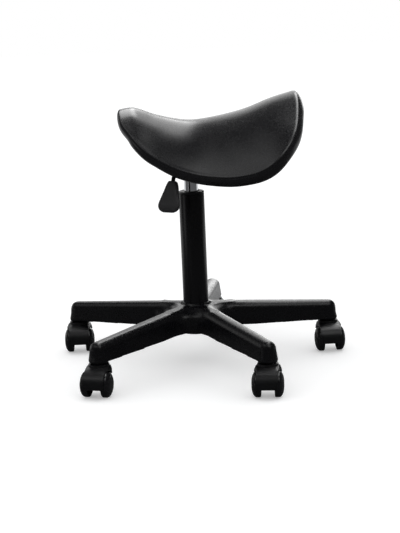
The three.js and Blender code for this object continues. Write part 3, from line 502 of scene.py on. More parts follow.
# the grain in millimetres, colours at their darkest and lightest
finishValues = {
    "leatherette": (leatherette, {
        "grain": 1.1, "dark": (0.0035, 0.0035, 0.004), "light": (0.0065, 0.0065, 0.008),
        "roughness": 0.26, "specular": 0.35, "sheen": 0.02, "relief": 0.14,
    }),
    "armPlastic": (mouldedPlastic, {
        "grain": 3, "dark": (0.002, 0.002, 0.0025), "light": (0.006, 0.006, 0.0075),
        "roughness": 0.32, "specular": 0.22, "relief": 0.9, "wear": 0.5,
    }),
    "hoodPlastic": (mouldedPlastic, {
        "grain": 0.8, "dark": (0.002, 0.002, 0.0025), "light": (0.007, 0.007, 0.008),
        "roughness": 0.38, "specular": 0.28, "relief": 0.2, "wear": 0.3,
    }),
    "gripPlastic": (mouldedPlastic, {
        "grain": 1.2, "dark": (0.007, 0.007, 0.008), "light": (0.022, 0.022, 0.024),
        "roughness": 0.45, "specular": 0.45, "relief": 0.35, "wear": 0.4,
    }),
    "wheelPlastic": (satinPlastic, {
        "dark": (0.004, 0.004, 0.005), "light": (0.014, 0.014, 0.014),
        "roughness": 0.22, "specular": 0.3, "relief": 0.12, "wear": 0.25,
    }),
    "bushPlastic": (satinPlastic, {
        "dark": (0.004, 0.004, 0.005), "light": (0.01, 0.01, 0.011),
        "roughness": 0.4, "specular": 0.35, "relief": 0.1, "wear": 0.1,
    }),
    "shellPlastic": (satinPlastic, {
        "dark": (0.015, 0.015, 0.016), "light": (0.03, 0.03, 0.032),
        "roughness": 0.55, "specular": 0.4, "relief": 0.2, "wear": 0.2,
    }),
    "columnPaint": (powderPaint, {
        "dark": (0.002, 0.002, 0.0025), "light": (0.004, 0.004, 0.005),
        "roughness": 0.26, "specular": 0.25, "relief": 0.05,
    }),
    "platePaint": (powderPaint, {
        "dark": (0.008, 0.008, 0.009), "light": (0.016, 0.016, 0.017),
        "roughness": 0.42, "specular": 0.5, "relief": 0.15,
    }),
    "chrome": (bareMetal, {
        "dark": (0.66, 0.67, 0.69), "light": (0.82, 0.83, 0.85), "lines": 5000,
        "roughness": 0.09, "smear": 0.05, "relief": 0.04,
    }),
    "steel": (bareMetal, {
        "dark": (0.30, 0.30, 0.31), "light": (0.52, 0.52, 0.54), "lines": 2500,
        "roughness": 0.38, "smear": 0.16, "relief": 0.2,
    }),
    "rubber": (satinPlastic, {
        "dark": (0.012, 0.012, 0.012), "light": (0.03, 0.03, 0.03),
        "roughness": 0.8, "specular": 0.3, "relief": 0.3, "wear": 0.3,
    }),
    "foam": (openFoam, {
        "dark": (0.42, 0.36, 0.22), "light": (0.72, 0.66, 0.46), "roughness": 0.9, "relief": 0.6,
    }),
    "felt": (lintCloth, {
        "dark": (0.006, 0.006, 0.006), "light": (0.022, 0.022, 0.023), "roughness": 0.92, "relief": 0.5,
    }),
}
finishes = {name: newFinish(name, *made) for name, made in finishValues.items()}

print("stage: saddle")

saddleValues = {
    "front": 129, "rear": 202.7, "halfWidth": 176.7, "valley": 484, "noseRise": 30.7, "cantleRise": 51.2,
    "thickness": 42, "cover": 2.5, "shell": 8, "gap": 0.5, "innerCrown": 60, "around": 180, "crisp": 60,
    # how far the edge swells outward, and how square it is
    "swell": 9, "squareness": 2.2,
    # at nose, valley and rear: how steeply the sides fall, and how round the ridge is
    "falls": (0.95, 0.86, 0.68), "crowns": (30, 62, 95),
    # where the layers start to thin towards the nose, and their share there
    "taper": (-20, 0.79),
    # the roll down to the edge: its start, and its depth at nose and rear for tips and sides
    "padStart": 0.3, "tipDrops": (6, 6), "sideDrops": (17, 14), "sideStart": 0.6,
    # middle of the rings as a share of the rear, their sizes, and those turned in below
    "centre": 0.15,
    "rings": (0.05, 0.12, 0.2, 0.28, 0.36, 0.44, 0.52, 0.6, 0.68, 0.76, 0.84, 0.9, 0.95, 0.98, 1),
    "turnedIn": (0.97, 0.94, 0.9),
    "outline": (
        (-1, 0), (-0.96, 0.24), (-0.62, 0.478), (0, 0.715), (0.42, 0.938),
        (0.7, 1.004), (0.9, 0.824), (0.985, 0.418), (1, 0),
    ),
    "ridge": (
        (-1.06, 0.99), (-0.8, 1), (-0.45, 0.41), (0, 0),
        (0.28, 0.1), (0.55, 0.345), (0.8, 0.758), (1.04, 1.099),
    ),
}
linerValues = {
    "gap": 0.8, "thickness": 1.5, "size": 0.95, "crisp": 50,
    # half length, half width, corner, foot and top of the opening round the seat plate
    "opening": (75.5, 38.5, 12, 0, 511),
}


class Saddle:
    # the doubly curved top, and rings that follow it at a depth
    def __init__(self, values):
        self.values = values
        self.stations = []
        for share, rise in values["ridge"]:
            height = rise * values["noseRise" if share < 0 else "cantleRise"]
            self.stations.append((self.reach(share), values["valley"] + height))
        half = [(self.reach(x), y * values["halfWidth"], 0) for x, y in values["outline"]]
        mirrored = [(x, -y, 0) for x, y, z in half[-2:0:-1]]
        self.outline = evenly(smoothPath(half + mirrored, 60, closed=True), values["around"])
        self.centre = Vector((values["centre"] * values["rear"], 0, 0))

    def reach(self, share):
        return share * (self.values["front"] if share < 0 else self.values["rear"])

    def slope(self, i):
        last = len(self.stations) - 1
        (x0, z0), (x1, z1) = self.stations[max(i - 1, 0)], self.stations[min(i + 1, last)]
        return (z1 - z0) / (x1 - x0)

    def ridge(self, x):
        last = len(self.stations) - 1
        right = next((i for i, station in enumerate(self.stations) if station[0] > x), last)
        right = max(right, 1)
        (x0, z0), (x1, z1) = self.stations[right - 1], self.stations[right]
        t = min(max((x - x0) / (x1 - x0), 0), 1)
        ease = t * t * (3 - 2 * t)
        rise = t * (1 - t) * ((1 - t) * self.slope(right - 1) - t * self.slope(right))
        return z0 + (z1 - z0) * ease + rise * (x1 - x0)

    def along(self, x, levels):
        nose, middle, rear = levels
        if x < 0:
            return middle + (nose - middle) * min(-x / self.values["front"], 1)
        return middle + (rear - middle) * min(x / self.values["rear"], 1)

    def height(self, x, y, extra=0):
        crown = self.along(x, self.values["crowns"]) + extra
        return self.ridge(x) - self.along(x, self.values["falls"]) * (hypot(y, crown) - crown)

    def normal(self, x, y):
        extra, step = self.values["innerCrown"], 0.3
        slopeX = self.height(x + step, y, extra) - self.height(x - step, y, extra)
        slopeY = self.height(x, y + step, extra) - self.height(x, y - step, extra)
        return Vector((-slopeX / (2 * step), -slopeY / (2 * step), 1)).normalized()

    def point(self, place, depth):
        start, noseShare = self.values["taper"]
        noseward = min(max((start - place.x) / (self.values["front"] + start), 0), 1)
        on = Vector((place.x, place.y, self.height(place.x, place.y)))
        return on - self.normal(place.x, place.y) * depth * (1 + (noseShare - 1) * noseward)

    def drop(self, corner):
        # how far the padded top has rolled down at the edge
        out = corner - self.centre
        noseward = (1 - out.x / out.length) / 2
        side = min(abs(out.y) / out.length / self.values["sideStart"], 1)
        side *= side * (3 - 2 * side)
        tip, flank = (
            rear + (nose - rear) * noseward
            for nose, rear in (self.values["tipDrops"], self.values["sideDrops"])
        )
        return tip + (flank - tip) * side

    def ring(self, share, depth, push=0, sunk=0):
        # the depth, and the share of the edge's drop that is added to it
        ring, count = [], len(self.outline)
        for i, corner in enumerate(self.outline):
            place = self.centre.lerp(corner, share)
            before, after = self.outline[i - 1], self.outline[(i + 1) % count]
            normal = self.normal(place.x, place.y)
            outward = Vector((before.y - after.y, after.x - before.x, 0)).normalized()
            outward = (outward - normal * outward.dot(normal)).normalized()
            ring.append(self.point(place, depth + self.drop(corner) * sunk) + outward * push)
        return ring

    def top(self, depth, shares):
        start = self.values["padStart"]
        rolled = [(max(share - start, 0) / (1 - start)) ** 2 for share in shares]
        return [self.ring(share, depth, sunk=sunk) for share, sunk in zip(shares, rolled)]

    def sheet(self, depth, shares):
        return [self.ring(share, depth) for share in shares]

    def edge(self, inset, start=70, end=-90, steps=22):
        power, half = 2 / self.values["squareness"], self.values["thickness"] / 2
        rings = []
        for i in range(steps + 1):
            angle = radians(start + (end - start) * i / steps)
            across, rise = max(cos(angle), 0), sin(angle)
            rise = copysign(abs(rise) ** power, rise)
            push = (self.values["swell"] - inset) * across ** power
            rings.append(self.ring(1, half - (half - inset) * rise, push, sunk=(1 + rise) / 2))
        return rings

    def between(self, upper, lower, upperDepth, lowerDepth):
        ends = self.point(self.centre, upperDepth), self.point(self.centre, lowerDepth)
        return loft(upper + lower[::-1], *ends)


saddle = Saddle(saddleValues)


def addCover():
    v = saddleValues
    thick, skin, shares, turned = v["thickness"], v["cover"], v["rings"], v["turnedIn"]
    outside = saddle.top(0, shares) + saddle.edge(0) + saddle.sheet(thick, turned)
    inside = saddle.top(skin, shares) + saddle.edge(skin) + saddle.sheet(thick - skin, turned)
    cover = polish(newPiece("saddleCover", saddle.between(outside, inside, 0, skin)), v["crisp"])
    dress(cover, "seat", "leatherette", "seat_cover", slot="leatherette")


def addFoam():
    v = saddleValues
    top = v["cover"] + v["gap"]
    foot = v["thickness"] - v["cover"] - v["shell"] - 2 * v["gap"]
    rings = saddle.top(top, v["rings"]) + saddle.edge(top, end=0, steps=12)
    pad = newPiece("saddleFoam", saddle.between(rings, saddle.sheet(foot, v["rings"]), top, foot))
    dress(polish(pad, v["crisp"]), "seat", "foam", "seat_foam", slot="foam")


def addLiner():
    v = linerValues
    top = saddleValues["thickness"] + v["gap"]
    foot = top + v["thickness"]
    shares = [share * v["size"] for share in saddleValues["rings"]]
    sheet = saddle.between(saddle.sheet(top, shares), saddle.sheet(foot, shares), top, foot)
    liner = carve(newPiece("saddleLiner", sheet), roundedBlock(*v["opening"]))
    dress(polish(liner, v["crisp"]), "seat", "felt", "bottom_liner", slot="felt")


addCover()
addFoam()
addLiner()

print("stage: seat plate")

plateValues = {
    "top": 428, "thickness": 3, "halfLength": 75, "halfWidth": 38, "corner": 12, "flange": 7, "wall": 2.5,
    "boltHole": 3.3, "rounding": 0.6,
    "bolts": ((60, 25), (60, -25), (-60, 25), (-60, -25)),
    # half length, half width, corner and floor of the lever's housing, and the corner inside
    "housing": (30, 22, 5, 395, 3),
    # half width of the rod's way out, and its height over the pivot
    "slot": (7, 7.5),
    # radius, foot and rounding of the spring's socket
    "socket": (19, 377, 1.5),
    # radius of its bore at foot and top, and the height of the top
    "bore": (14, 13, 404),
}
boltValues = {
    # radius, and height over the underside of the head
    "profile": ((0, -3.8), (4.9, -3.8), (5.6, -3), (5.6, 0), (3, 0), (3, 14.4), (2.4, 15), (0, 15)),
    # corner radius, foot and top
    "hexagon": (2.6, -4.8, -1.9),
}
leverValues = {
    "yaw": 25, "pivot": (21, 409.5), "pinHole": 2.8, "rod": 4, "rounding": 0.5, "bore": 18,
    # radius and half length
    "eye": (5.5, 7),
    # tip, half width, underside and top
    "tongue": (-5, 4.5, 410.6, 415),
    "gripTop": (80, 0, 376), "gripTilt": 28, "gripLength": 61, "gripHalf": (22.5, 6.2),
    "gripRounding": 0.8, "gripCrisp": 50,
    # how round the paddle's faces and edges are; 1 is a circle's
    "gripPowers": (0.62, 0.32),
    # shares of its length, half width and half thickness
    "gripStations": (
        (0, 0.36, 0.9), (0.04, 0.44, 1), (0.16, 0.56, 1), (0.3, 0.66, 0.94),
        (0.43, 0.77, 0.88), (0.57, 0.88, 0.82), (0.7, 0.98, 0.78), (0.79, 1, 0.76),
        (0.88, 0.93, 0.7), (0.96, 0.74, 0.58), (1, 0.5, 0.4),
    ),
}
leverTurn = -90 - leverValues["yaw"]


def crossRod(radius, halfLength, x, z):
    return shifted(spun(drum(radius, -halfLength, halfLength, 48), 90, "X"), x, 0, z)


def addSeatPlate():
    v = plateValues
    top, edge, wall = v["top"], v["halfWidth"], v["wall"]
    under, inner = top - v["thickness"], edge - v["thickness"]
    reach = v["halfLength"] - v["corner"]
    length, width, corner, floor, innerCorner = v["housing"]
    radius, foot, rounding = v["socket"]
    wide, narrow, boreTop = v["bore"]
    socket = [(0, foot), (radius - rounding, foot), (radius, foot + rounding)]
    socket += [(radius, floor + overrun), (0, floor + overrun)]
    plate = newPiece("seatPlate", roundedBlock(v["halfLength"], edge, v["corner"], under, top))
    fuse(
        plate,
        block((-reach, inner, under - v["flange"]), (reach, edge, top)),
        block((-reach, -edge, under - v["flange"]), (reach, -inner, top)),
        # the housing's walls end inside the plate
        spun(roundedBlock(length, width, corner, floor, top - 1), leverTurn),
        lathe(socket, 72),
    )
    room = roundedBlock(length - wall, width - wall, innerCorner, floor + wall, under)
    pivotX, pivotZ = leverValues["pivot"]
    half, rise = v["slot"]
    slot = block((pivotX, -half, floor + wall), (length + overrun, half, pivotZ + rise))
    bore = [
        (0, foot - overrun), (wide + clearance, foot - overrun), (wide + clearance, foot),
        (narrow + clearance, boreTop), (0, boreTop),
    ]
    carve(plate, spun(room, leverTurn), spun(slot, leverTurn), lathe(bore, 72))
    carve(plate, spun(crossRod(leverValues["pinHole"], width + overrun, pivotX, pivotZ), leverTurn))
    for x, y in reversed(v["bolts"]):
        carve(plate, shifted(drum(v["boltHole"], under - overrun, top + overrun), x, y, 0))
    roundEdges(plate, v["rounding"])
    dress(polish(plate), "seat", "platePaint", "seat_plate", slot="plate_paint")


def addBolts():
    # hexagon socket screws, seen from below
    seat = plateValues["top"] - plateValues["thickness"] - clearance
    profile = [(radius, seat + height) for radius, height in boltValues["profile"]]
    corner, low, high = boltValues["hexagon"]
    hexagon = prism(arc(0, 0, corner, 0, 300, 5), seat + low, seat + high)
    for number, (x, y) in enumerate(plateValues["bolts"], 1):
        bolt = newPiece(f"seatBolt{number}", shifted(lathe(profile, 40), x, y, 0))
        carve(bolt, shifted(hexagon, x, y, 0))
        dress(polish(bolt), "seat", "steel", f"seat_bolt{number}", slot="steel")


def addLever():
    v = leverValues
    pivotX, pivotZ = v["pivot"]
    eyeRadius, eyeHalf = v["eye"]
    tip, half, under, top = v["tongue"]
    tilt = radians(v["gripTilt"])
    down = Vector((sin(tilt), 0, -cos(tilt)))
    neck = Vector(v["gripTop"])
    start = Vector((pivotX + eyeRadius / 2, 0, pivotZ))
    entry = neck - down * v["bore"] / 2
    end = neck + down * (v["bore"] - clearance)
    path = smoothPath([start, start.lerp(entry, 0.5), entry, neck, end], 12)
    rod = newPiece("releaseLever", spun(tube(path, v["rod"]), leverTurn))
    fuse(
        rod,
        spun(crossRod(eyeRadius, eyeHalf, pivotX, pivotZ), leverTurn),
        spun(block((tip, -half, under), (pivotX, half, top)), leverTurn),
    )
    carve(rod, spun(crossRod(v["pinHole"], eyeHalf + overrun, pivotX, pivotZ), leverTurn))
    roundEdges(rod, v["rounding"])
    dress(polish(rod), "lever", "columnPaint", "release_lever", slot="plate_paint")


def addGrip():
    # a moulded paddle: narrow neck, flat hand-wide blade, soft edges all round
    v = leverValues
    halfWidth, halfThick = v["gripHalf"]
    facePower, edgePower = v["gripPowers"]
    sides = 48
    # the curve between the stations runs in hundredths
    stations = smoothPath([Vector(row) * 100 for row in v["gripStations"]], 6)
    rings = []
    for along, width, thick in (station / 100 for station in stations):
        half, deep = width * halfWidth, thick * halfThick
        ring = []
        for k in range(sides):
            edge, face = cos(turn * k / sides), sin(turn * k / sides)
            x = deep * copysign(abs(face) ** facePower, face)
            y = (half - deep * 0.5) * copysign(abs(edge) ** edgePower, edge)
            ring.append((x, y + deep * 0.5 * edge, -along * v["gripLength"]))
        rings.append(ring)
    place = rotation(leverTurn) @ Matrix.Translation(v["gripTop"]) @ rotation(-v["gripTilt"], "Y")
    paddle = newPiece("leverPaddle", moved(loft(rings), place))
    carve(paddle, moved(drum(v["rod"] + clearance, -v["bore"], overrun), place))
    roundEdges(paddle, v["gripRounding"], segments=3, angle=v["gripCrisp"])
    dress(polish(paddle, v["gripCrisp"]), "lever", "gripPlastic", "lever_grip", slot="nylon")


addSeatPlate()
addBolts()
addLever()
addGrip()

print("stage: gas column")

columnValues = {
    "radius": 25, "draft": 1, "wall": 2, "foot": 68, "top": 340, "hubTop": 117, "rim": 0.9,
    "segments": 128, "crisp": 30,
    # underside and top of the plate that holds the rod, and its hole
    "plate": (74, 77, 5.3),
    # inner radius, foot, height of the flange and its rounding
    "bush": (14.3, 264, 3.6, 1.2),
    # radii of the spring: outside, tapered end, bore, hole for the valve
    "springRadii": (14, 13, 12, 2.8),
    # its foot, the start of the taper, its top, and how thick foot and top are
    "springHeights": (94.5, 377, 404, 20, 12),
}


def addTurned(name, profile, body, finish, node, slot):
    piece = newPiece(name, lathe(profile, columnValues["segments"]))
    dress(polish(piece, columnValues["crisp"]), body, finish, node, slot=slot)


def addColumn():
    v = columnValues
    radius, foot, top, wall, hubTop = (v[key] for key in ("radius", "foot", "top", "wall", "hubTop"))
    low, within = radius - v["draft"], radius - wall
    plateFoot, plateTop, hole = v["plate"]
    profile = [(low - wall, foot), (low - 0.3, foot), (low, foot + 0.4), (radius, hubTop)]
    profile += softRim(radius, top, v["rim"], v["rim"] * 0.3)
    profile += [(within, top), (within, hubTop), (low - wall, plateTop)]
    profile += [(hole, plateTop), (hole, plateFoot), (low - wall, plateFoot)]
    addTurned("columnTube", profile, "base", "columnPaint", "column_tube", "column_paint")

    inner, foot, flange, rounding = v["bush"]
    outer, seat = within - clearance, top + clearance
    high = seat + flange
    profile = [(inner, foot), (outer, foot), (outer, seat), (radius - 0.4, seat), (radius, seat + 0.4)]
    profile += softRim(radius, high, rounding, 0.4) + [(inner + 1.6, high), (inner, high - 1)]
    addTurned("guideBush", profile, "base", "bushPlastic", "guide_bush", "nylon")

    outer, narrow, bore, valve = v["springRadii"]
    foot, socket, top, floor, roof = v["springHeights"]
    profile = [
        (hole, foot), (narrow, foot), (outer, foot + 1), (outer, socket), (narrow, top - 0.6),
        (narrow - 0.6, top), (valve, top), (valve, top - roof), (bore, top - roof),
        (bore, foot + floor), (hole, foot + floor),
    ]
    addTurned("pressureTube", profile, "seat", "chrome", "pressure_tube", "chrome")


addColumn()

print("stage: star base")

baseValues = {
    "reach": 270, "pitch": 72, "turned": 7.8, "armStart": 20, "draft": 3, "endRound": 16,
    "wall": 4, "roof": 5, "rib": 3, "rows": 3, "pocketStart": 52, "pocketRim": 11, "pocketCorner": 8,
    "voxel": 1.8, "blend": 5, "crisp": 40,
    # half width, foot and top
    "armEnd": (19.5, 63.5, 100.5), "armRoot": (23, 70.5, 119),
    # height of an arm's round shoulder, and its share of the half width
    "shoulder": (15, 0.9),
    # rings round the end, and how far round it they reach
    "endRings": (10, 0.96),
    # radius of the hollow round between arms, its overlap with them, and the lift of its foot
    "corner": (34, 0.8, 1),
    # depth under the arms' top, and how much wider the round is there
    "cornerTop": ((26, 0), (15, 4), (8, 12), (4, 22), (2, 34)),
    # radius, neck, foot and top; then shares from the neck out and from the foot up
    "hub": (42, 28.4, 63, 122),
    "hubShares": (
        (1, 0), (1, 0.3), (1, 0.52), (0.9, 0.6), (0.72, 0.68),
        (0.5, 0.75), (0.28, 0.81), (0.1, 0.86), (0, 0.9), (0, 1),
    ),
    # inner radius, and depth under the top
    "hubHollow": (30, 22),
    # radius, foot and top; then radius and depth
    "boss": (17, 60, 72), "stem": (5.5, 28),
    # steps of blending at the hub, and where they start, are full, fade and end
    "hubBlend": (30, 33, 42, 80, 105),
}
armPitch = baseValues["pitch"]
armAngles = [90 - baseValues["turned"] + armPitch * i for i in range(5)]


def armSection(distance):
    v = baseValues
    share = min(max((distance - v["hub"][0]) / (v["reach"] - v["hub"][0]), 0), 1)
    return [root + (end - root) * share for root, end in zip(v["armRoot"], v["armEnd"])]


def armRing(distance, half, foot, top, endAngle=0):
    # the sides lean in by the draft, and so does the round end
    (shoulder, roundShare), draft = baseValues["shoulder"], baseValues["draft"]
    upperHalf = half - draft * cos(endAngle)
    upperDistance = distance - draft * sin(endAngle)
    side = upperHalf * roundShare
    upper = [
        (upperDistance, upperHalf - side + side * y, top - shoulder + shoulder * z)
        for y, z in arc(0, 0, 1, 0, 90, 10)
    ]
    mirrored = [(x, -y, z) for x, y, z in reversed(upper)]
    return [(distance, -half, foot), (distance, half, foot)] + upper + mirrored


def armShape():
    v = baseValues
    rings = []
    for distance in (v["armStart"], v["hub"][0], v["reach"]):
        half, foot, top = armSection(distance)
        rings.append(armRing(distance, half, foot, top))
    half, foot, top = v["armEnd"]
    steps, share = v["endRings"]
    for i in range(1, steps + 1):
        angle = turn / 4 * share * i / steps
        distance = v["reach"] + half * sin(angle)
        past = max(0, 1 - (half - v["draft"]) * (1 - sin(angle)) / v["endRound"])
        drop = v["endRound"] * (1 - sqrt(1 - past * past))
        rings.append(armRing(distance, half * cos(angle), foot, top - drop, angle))
    return loft(rings)


def armCorner():
    # fills the corner between two arms up to a hollow round, with a top that falls away from the hub
    v = baseValues
    radius, overlap, lift = v["corner"]
    half, foot, top = v["armRoot"]
    middle = (half + radius) / sin(radians(armPitch / 2)) - overlap
    start, end = 90 + armPitch / 2, 270 - armPitch / 2
    rings = []
    for height, inset in [(foot + lift, 0)] + [(top - drop, inset) for drop, inset in v["cornerTop"]]:
        hollow = arc(middle, 0, radius + inset, start, end, 20)
        rings.append([(0, 0, height)] + [(x, y, height) for x, y in hollow])
    return loft(rings)


def armPocket(near, far, side):
    v = baseValues
    corner = v["pocketCorner"]
    rings = []
    for distance in (near, far):
        half, foot, top = armSection(distance)
        inner, outer, roof = v["rib"] / 2, half - v["wall"], top - v["roof"]
        upper, low = outer - v["draft"], foot - 4 * overrun
        ring = [
            (inner, low), (outer, low), (upper, roof - corner),
            (upper - corner * 0.3, roof - corner * 0.3), (upper - corner, roof), (inner, roof),
        ]
        rings.append([(distance, side * y, z) for y, z in ring])
    return loft(rings)


def addBase():
    v = baseValues
    radius, neck, foot, top = v["hub"]
    bossRadius, bossFoot, bossTop = v["boss"]
    stemRadius, stemDepth = v["stem"]
    slope = [(neck + (radius - neck) * out, foot + (top - foot) * rise) for out, rise in v["hubShares"]]
    arm, corner = armShape(), armCorner()
    boss = shifted(drum(bossRadius, bossFoot, bossTop, 64), v["reach"], 0, 0)
    bore = drum(stemRadius + clearance, bossFoot - overrun, bossFoot + stemDepth + clearance)
    bore = shifted(bore, v["reach"], 0, 0)
    end = v["reach"] - stemRadius - clearance - v["pocketRim"]
    pitch = (end - v["pocketStart"] + v["rib"]) / v["rows"]
    forms, hollows = [lathe([(0, foot)] + slope + [(0, top)])], []
    for angle in armAngles:
        forms += [spun(arm, angle), spun(boss, angle), spun(corner, angle + armPitch / 2)]
        hollows.append(spun(bore, angle))
        for row in range(v["rows"]):
            near = v["pocketStart"] + row * pitch
            far = near + pitch - v["rib"]
            hollows += [spun(armPocket(near, far, side), angle) for side in (-1, 1)]

    # arms, hub and bosses are cast as one form, and the blend runs fillets where they meet
    base = newPiece("starBase", together(*forms))
    change(base, "REMESH", mode="VOXEL", voxel_size=v["voxel"] * mm)
    change(base, "SMOOTH", factor=0.5, iterations=v["blend"])
    steps, start, full, fade, end = v["hubBlend"]
    zone = base.vertex_groups.new(name="hub")
    for vert in base.data.vertices:
        away = Vector(columnPlace.inverted() @ vert.co).xy.length / mm
        share = min((away - start) / (full - start), (end - away) / (end - fade), 1)
        zone.add([vert.index], share, "REPLACE")
    change(base, "SMOOTH", factor=0.5, iterations=steps, vertex_group="hub")

    # hollows of the underside, between ribs
    inner, depth = v["hubHollow"]
    outer, roof, low, half = radius - v["wall"], top - depth, foot - overrun, v["rib"] / 2
    ring = newPiece("hubHollow", lathe([(inner, low), (outer, low), (outer, roof), (inner, roof)]))
    rib = block((0, -half, low - overrun), (radius + overrun, half, top))
    carve(ring, *(spun(rib, armPitch / 2 * i + armAngles[0]) for i in range(10)))
    change(base, "BOOLEAN", object=ring, operation="DIFFERENCE", solver="EXACT")
    bpy.data.objects.remove(ring)
    carve(base, together(*hollows))

    # the column's seat, which tapers like the column
    wide = columnValues["radius"] + clearance
    narrow, start = wide - columnValues["draft"], columnValues["foot"]
    high = top + overrun
    seat = [(0, low), (narrow, low), (narrow, start), (wide, top), (wide, high), (0, high)]
    carve(base, lathe(seat))
    dress(polish(base, v["crisp"]), "base", "armPlastic", "star_base", slot="nylon")


addBase()

print("stage: casters")

casterValues = {
    "trail": 20, "axleHeight": 24.52, "wheel": 24.5, "inner": 13, "outer": 30, "tread": 20.5, "dome": 6,
    "hoodHalf": 20, "hoodWall": 2.2, "hoodEnds": (-8, 158), "neck": 20, "neckTop": 59.7,
    "neckRim": (2.4, 0.7), "stemFoot": 34, "stemHole": 5.8, "rounding": 0.7, "hoodCrisp": 40,
    "wheelCrisp": 30,
    # radius and half length of the axle's hole in the hood, and its end in the wheel
    "axleHole": (3.3, 24, 25.8),
    # radius of the wheel's hub, thickness of its rim, depth of its face
    "wheelHub": (6.4, 2.9, 8),
    # steps in and along at the rim's inner edge, and radius and rise of the cap
    "edge": ((1.4, 0), (0.4, 0.4), (0, 1.4)),
    "cap": ((5.6, 0), (5.3, -0.4), (4.9, -0.4), (4.6, 0), (2.5, 0.2), (0, 0.25)),
    # radius, half width and distance from the middle of a wheel's room
    "well": (25.9, 9.5, 20.5),
    # half width and front edge of the web between the wheels, and its radius round the axle
    "web": (11, -8.2, 7.5),
    # top, foot, shift forward, half length and half width at the foot, rings
    "shoulder": (55.5, 38, 10, 24, 27, 4),
    # the arc of the shroud's rim that it meets, and how far it stays inside faces
    "shoulderRim": (60, 150), "tuck": 0.05,
}


def wheelShape():
    # tread, domed face with a shallow ring, and a cap at the middle
    v = casterValues
    radius, inner, outer, tread, dome = (v[key] for key in ("wheel", "inner", "outer", "tread", "dome"))
    hole, _, depth = v["axleHole"]
    hub, thickness, sunk = v["wheelHub"]
    rim, web = radius - thickness, outer - sunk
    profile = [(0, depth), (hole, depth), (hole, inner), (hub, inner)]
    profile += [(hub, web), (rim, web), (rim, inner)]
    profile += [(radius - inset, inner + rise) for inset, rise in v["edge"]]
    steps = 16
    for i in range(steps + 1):
        out, rise = cos(turn / 4 * i / steps), sin(turn / 4 * i / steps)
        profile.append((dome + (radius - dome) * out, tread + (outer - tread) * rise))
    return lathe(profile + [(reach, outer + rise) for reach, rise in v["cap"]], 80)


def hoodShape():
    v = casterValues
    x, z, wall = v["trail"], v["axleHeight"], v["hoodWall"]
    inside = v["well"][0]
    front, rear = v["hoodEnds"]
    webHalf, webFront, axleRadius = v["web"]
    band = arc(x, z, inside + wall, front, rear, 40) + arc(x, z, inside - wall, rear, front, 40)
    low = v["stemFoot"] - wall
    web = arc(x, z, inside, front, rear, 40) + [(webFront, low), (0, low)]
    web += arc(x, z, axleRadius, 225, 315, 12)
    # drawn in the XZ plane, so the flat outline is stood up
    shroud = spun(prism(band, -v["hoodHalf"], v["hoodHalf"]), 90, "X")
    middle = spun(prism(web, -webHalf, webHalf), 90, "X")
    return shroud, middle


def hoodShoulder():
    # a skin drawn tight over rings that spread from the neck, and over the edges of the shroud
    v = casterValues
    top, low, forward, length, width, rings = v["shoulder"]
    neck, tuck = v["neck"], v["tuck"]
    points = []
    for i in range(rings):
        angle = turn / 4 * i / (rings - 0.5)
        share, height = 1 - cos(angle), top + (low - top) * (1 - cos(angle))
        across, along = (neck - tuck + (half - neck) * sin(angle) for half in (width, length))
        circle = arc(0, 0, 1, 0, 360, 48)
        points += [(forward * share + along * x, across * y, height) for x, y in circle]
    rim = arc(v["trail"], v["axleHeight"], v["well"][0] + v["hoodWall"], *v["shoulderRim"], 24)
    return tight(points + [(x, side * (v["hoodHalf"] - tuck), z) for x, z in rim for side in (-1, 1)])


def addCasters():
    v = casterValues
    x, z = v["trail"], v["axleHeight"]
    radius, top, foot = v["neck"], v["neckTop"], v["stemFoot"]
    axleRadius, axleHalf, _ = v["axleHole"]
    inside, half, away = v["well"]
    shroud, middle = hoodShape()
    hood = newPiece("hood", shroud)
    neck = [(0, foot), (radius, foot)] + softRim(radius, top, *v["neckRim"]) + [(0, top)]
    fuse(hood, middle, lathe(neck, 72), hoodShoulder())
    for side in (-1, 1):
        well = spun(drum(inside, -half, half, 96), 90, "X")
        carve(hood, shifted(well, x, side * away, z))
    carve(hood, drum(v["stemHole"], foot - 1.5 * overrun, top + overrun))
    carve(hood, crossRod(axleRadius, axleHalf, x, z))
    polish(roundEdges(hood, v["rounding"], segments=3), v["hoodCrisp"])
    wheels = {}
    for side, turned in (("left", -90), ("right", 90)):
        wheel = newPiece("wheel", shifted(spun(wheelShape(), turned, "X"), x, 0, z))
        wheels[side] = polish(wheel, v["wheelCrisp"])

    for number in range(1, 6):
        joint = joints[f"caster{number}_swivel"]
        axis = joints[f"caster{number}_left_roll"]["axis"]
        place = Matrix.Translation((joint["pos_m"][0], joint["pos_m"][1], 0))
        place = place @ Matrix.Rotation(atan2(axis[1], axis[0]) - turn / 4, 4, "Z")
        piece = copyOf(hood, f"caster{number}Hood", place)
        dress(piece, f"caster{number}", "hoodPlastic", f"caster{number}_hood", slot="nylon")
        for side, wheel in wheels.items():
            piece = copyOf(wheel, f"caster{number}Wheel{side.title()}", place)
            node = f"caster{number}_wheel_{side}"
            dress(piece, f"caster{number}_{side}", "wheelPlastic", node, slot="wheel_plastic")
    for piece in (hood, *wheels.values()):
        bpy.data.objects.remove(piece)


addCasters()

print("stage: pieces that keep their solids")

keptFinishes = {
    "steel": [
        "piston_rod", "piston", "retaining_clip", "bearing_race_lower", "bearing_race_upper",
        "bearing_cage", "valve_pin", "lever_pivot_pin",
        *(f"seat_insert{i}" for i in range(1, 5)),
        *(f"caster{i}_{part}" for i in range(1, 6) for part in ("stem", "axle")),
    ],
    "rubber": ["rubber_buffer"],
    "shellPlastic": ["seat_shell"],
}
for finish, names in keptFinishes.items():
    for name in names:
        nodes[name].data.materials.clear()
        nodes[name].data.materials.append(finishes[finish])

print("stage: floor and light")

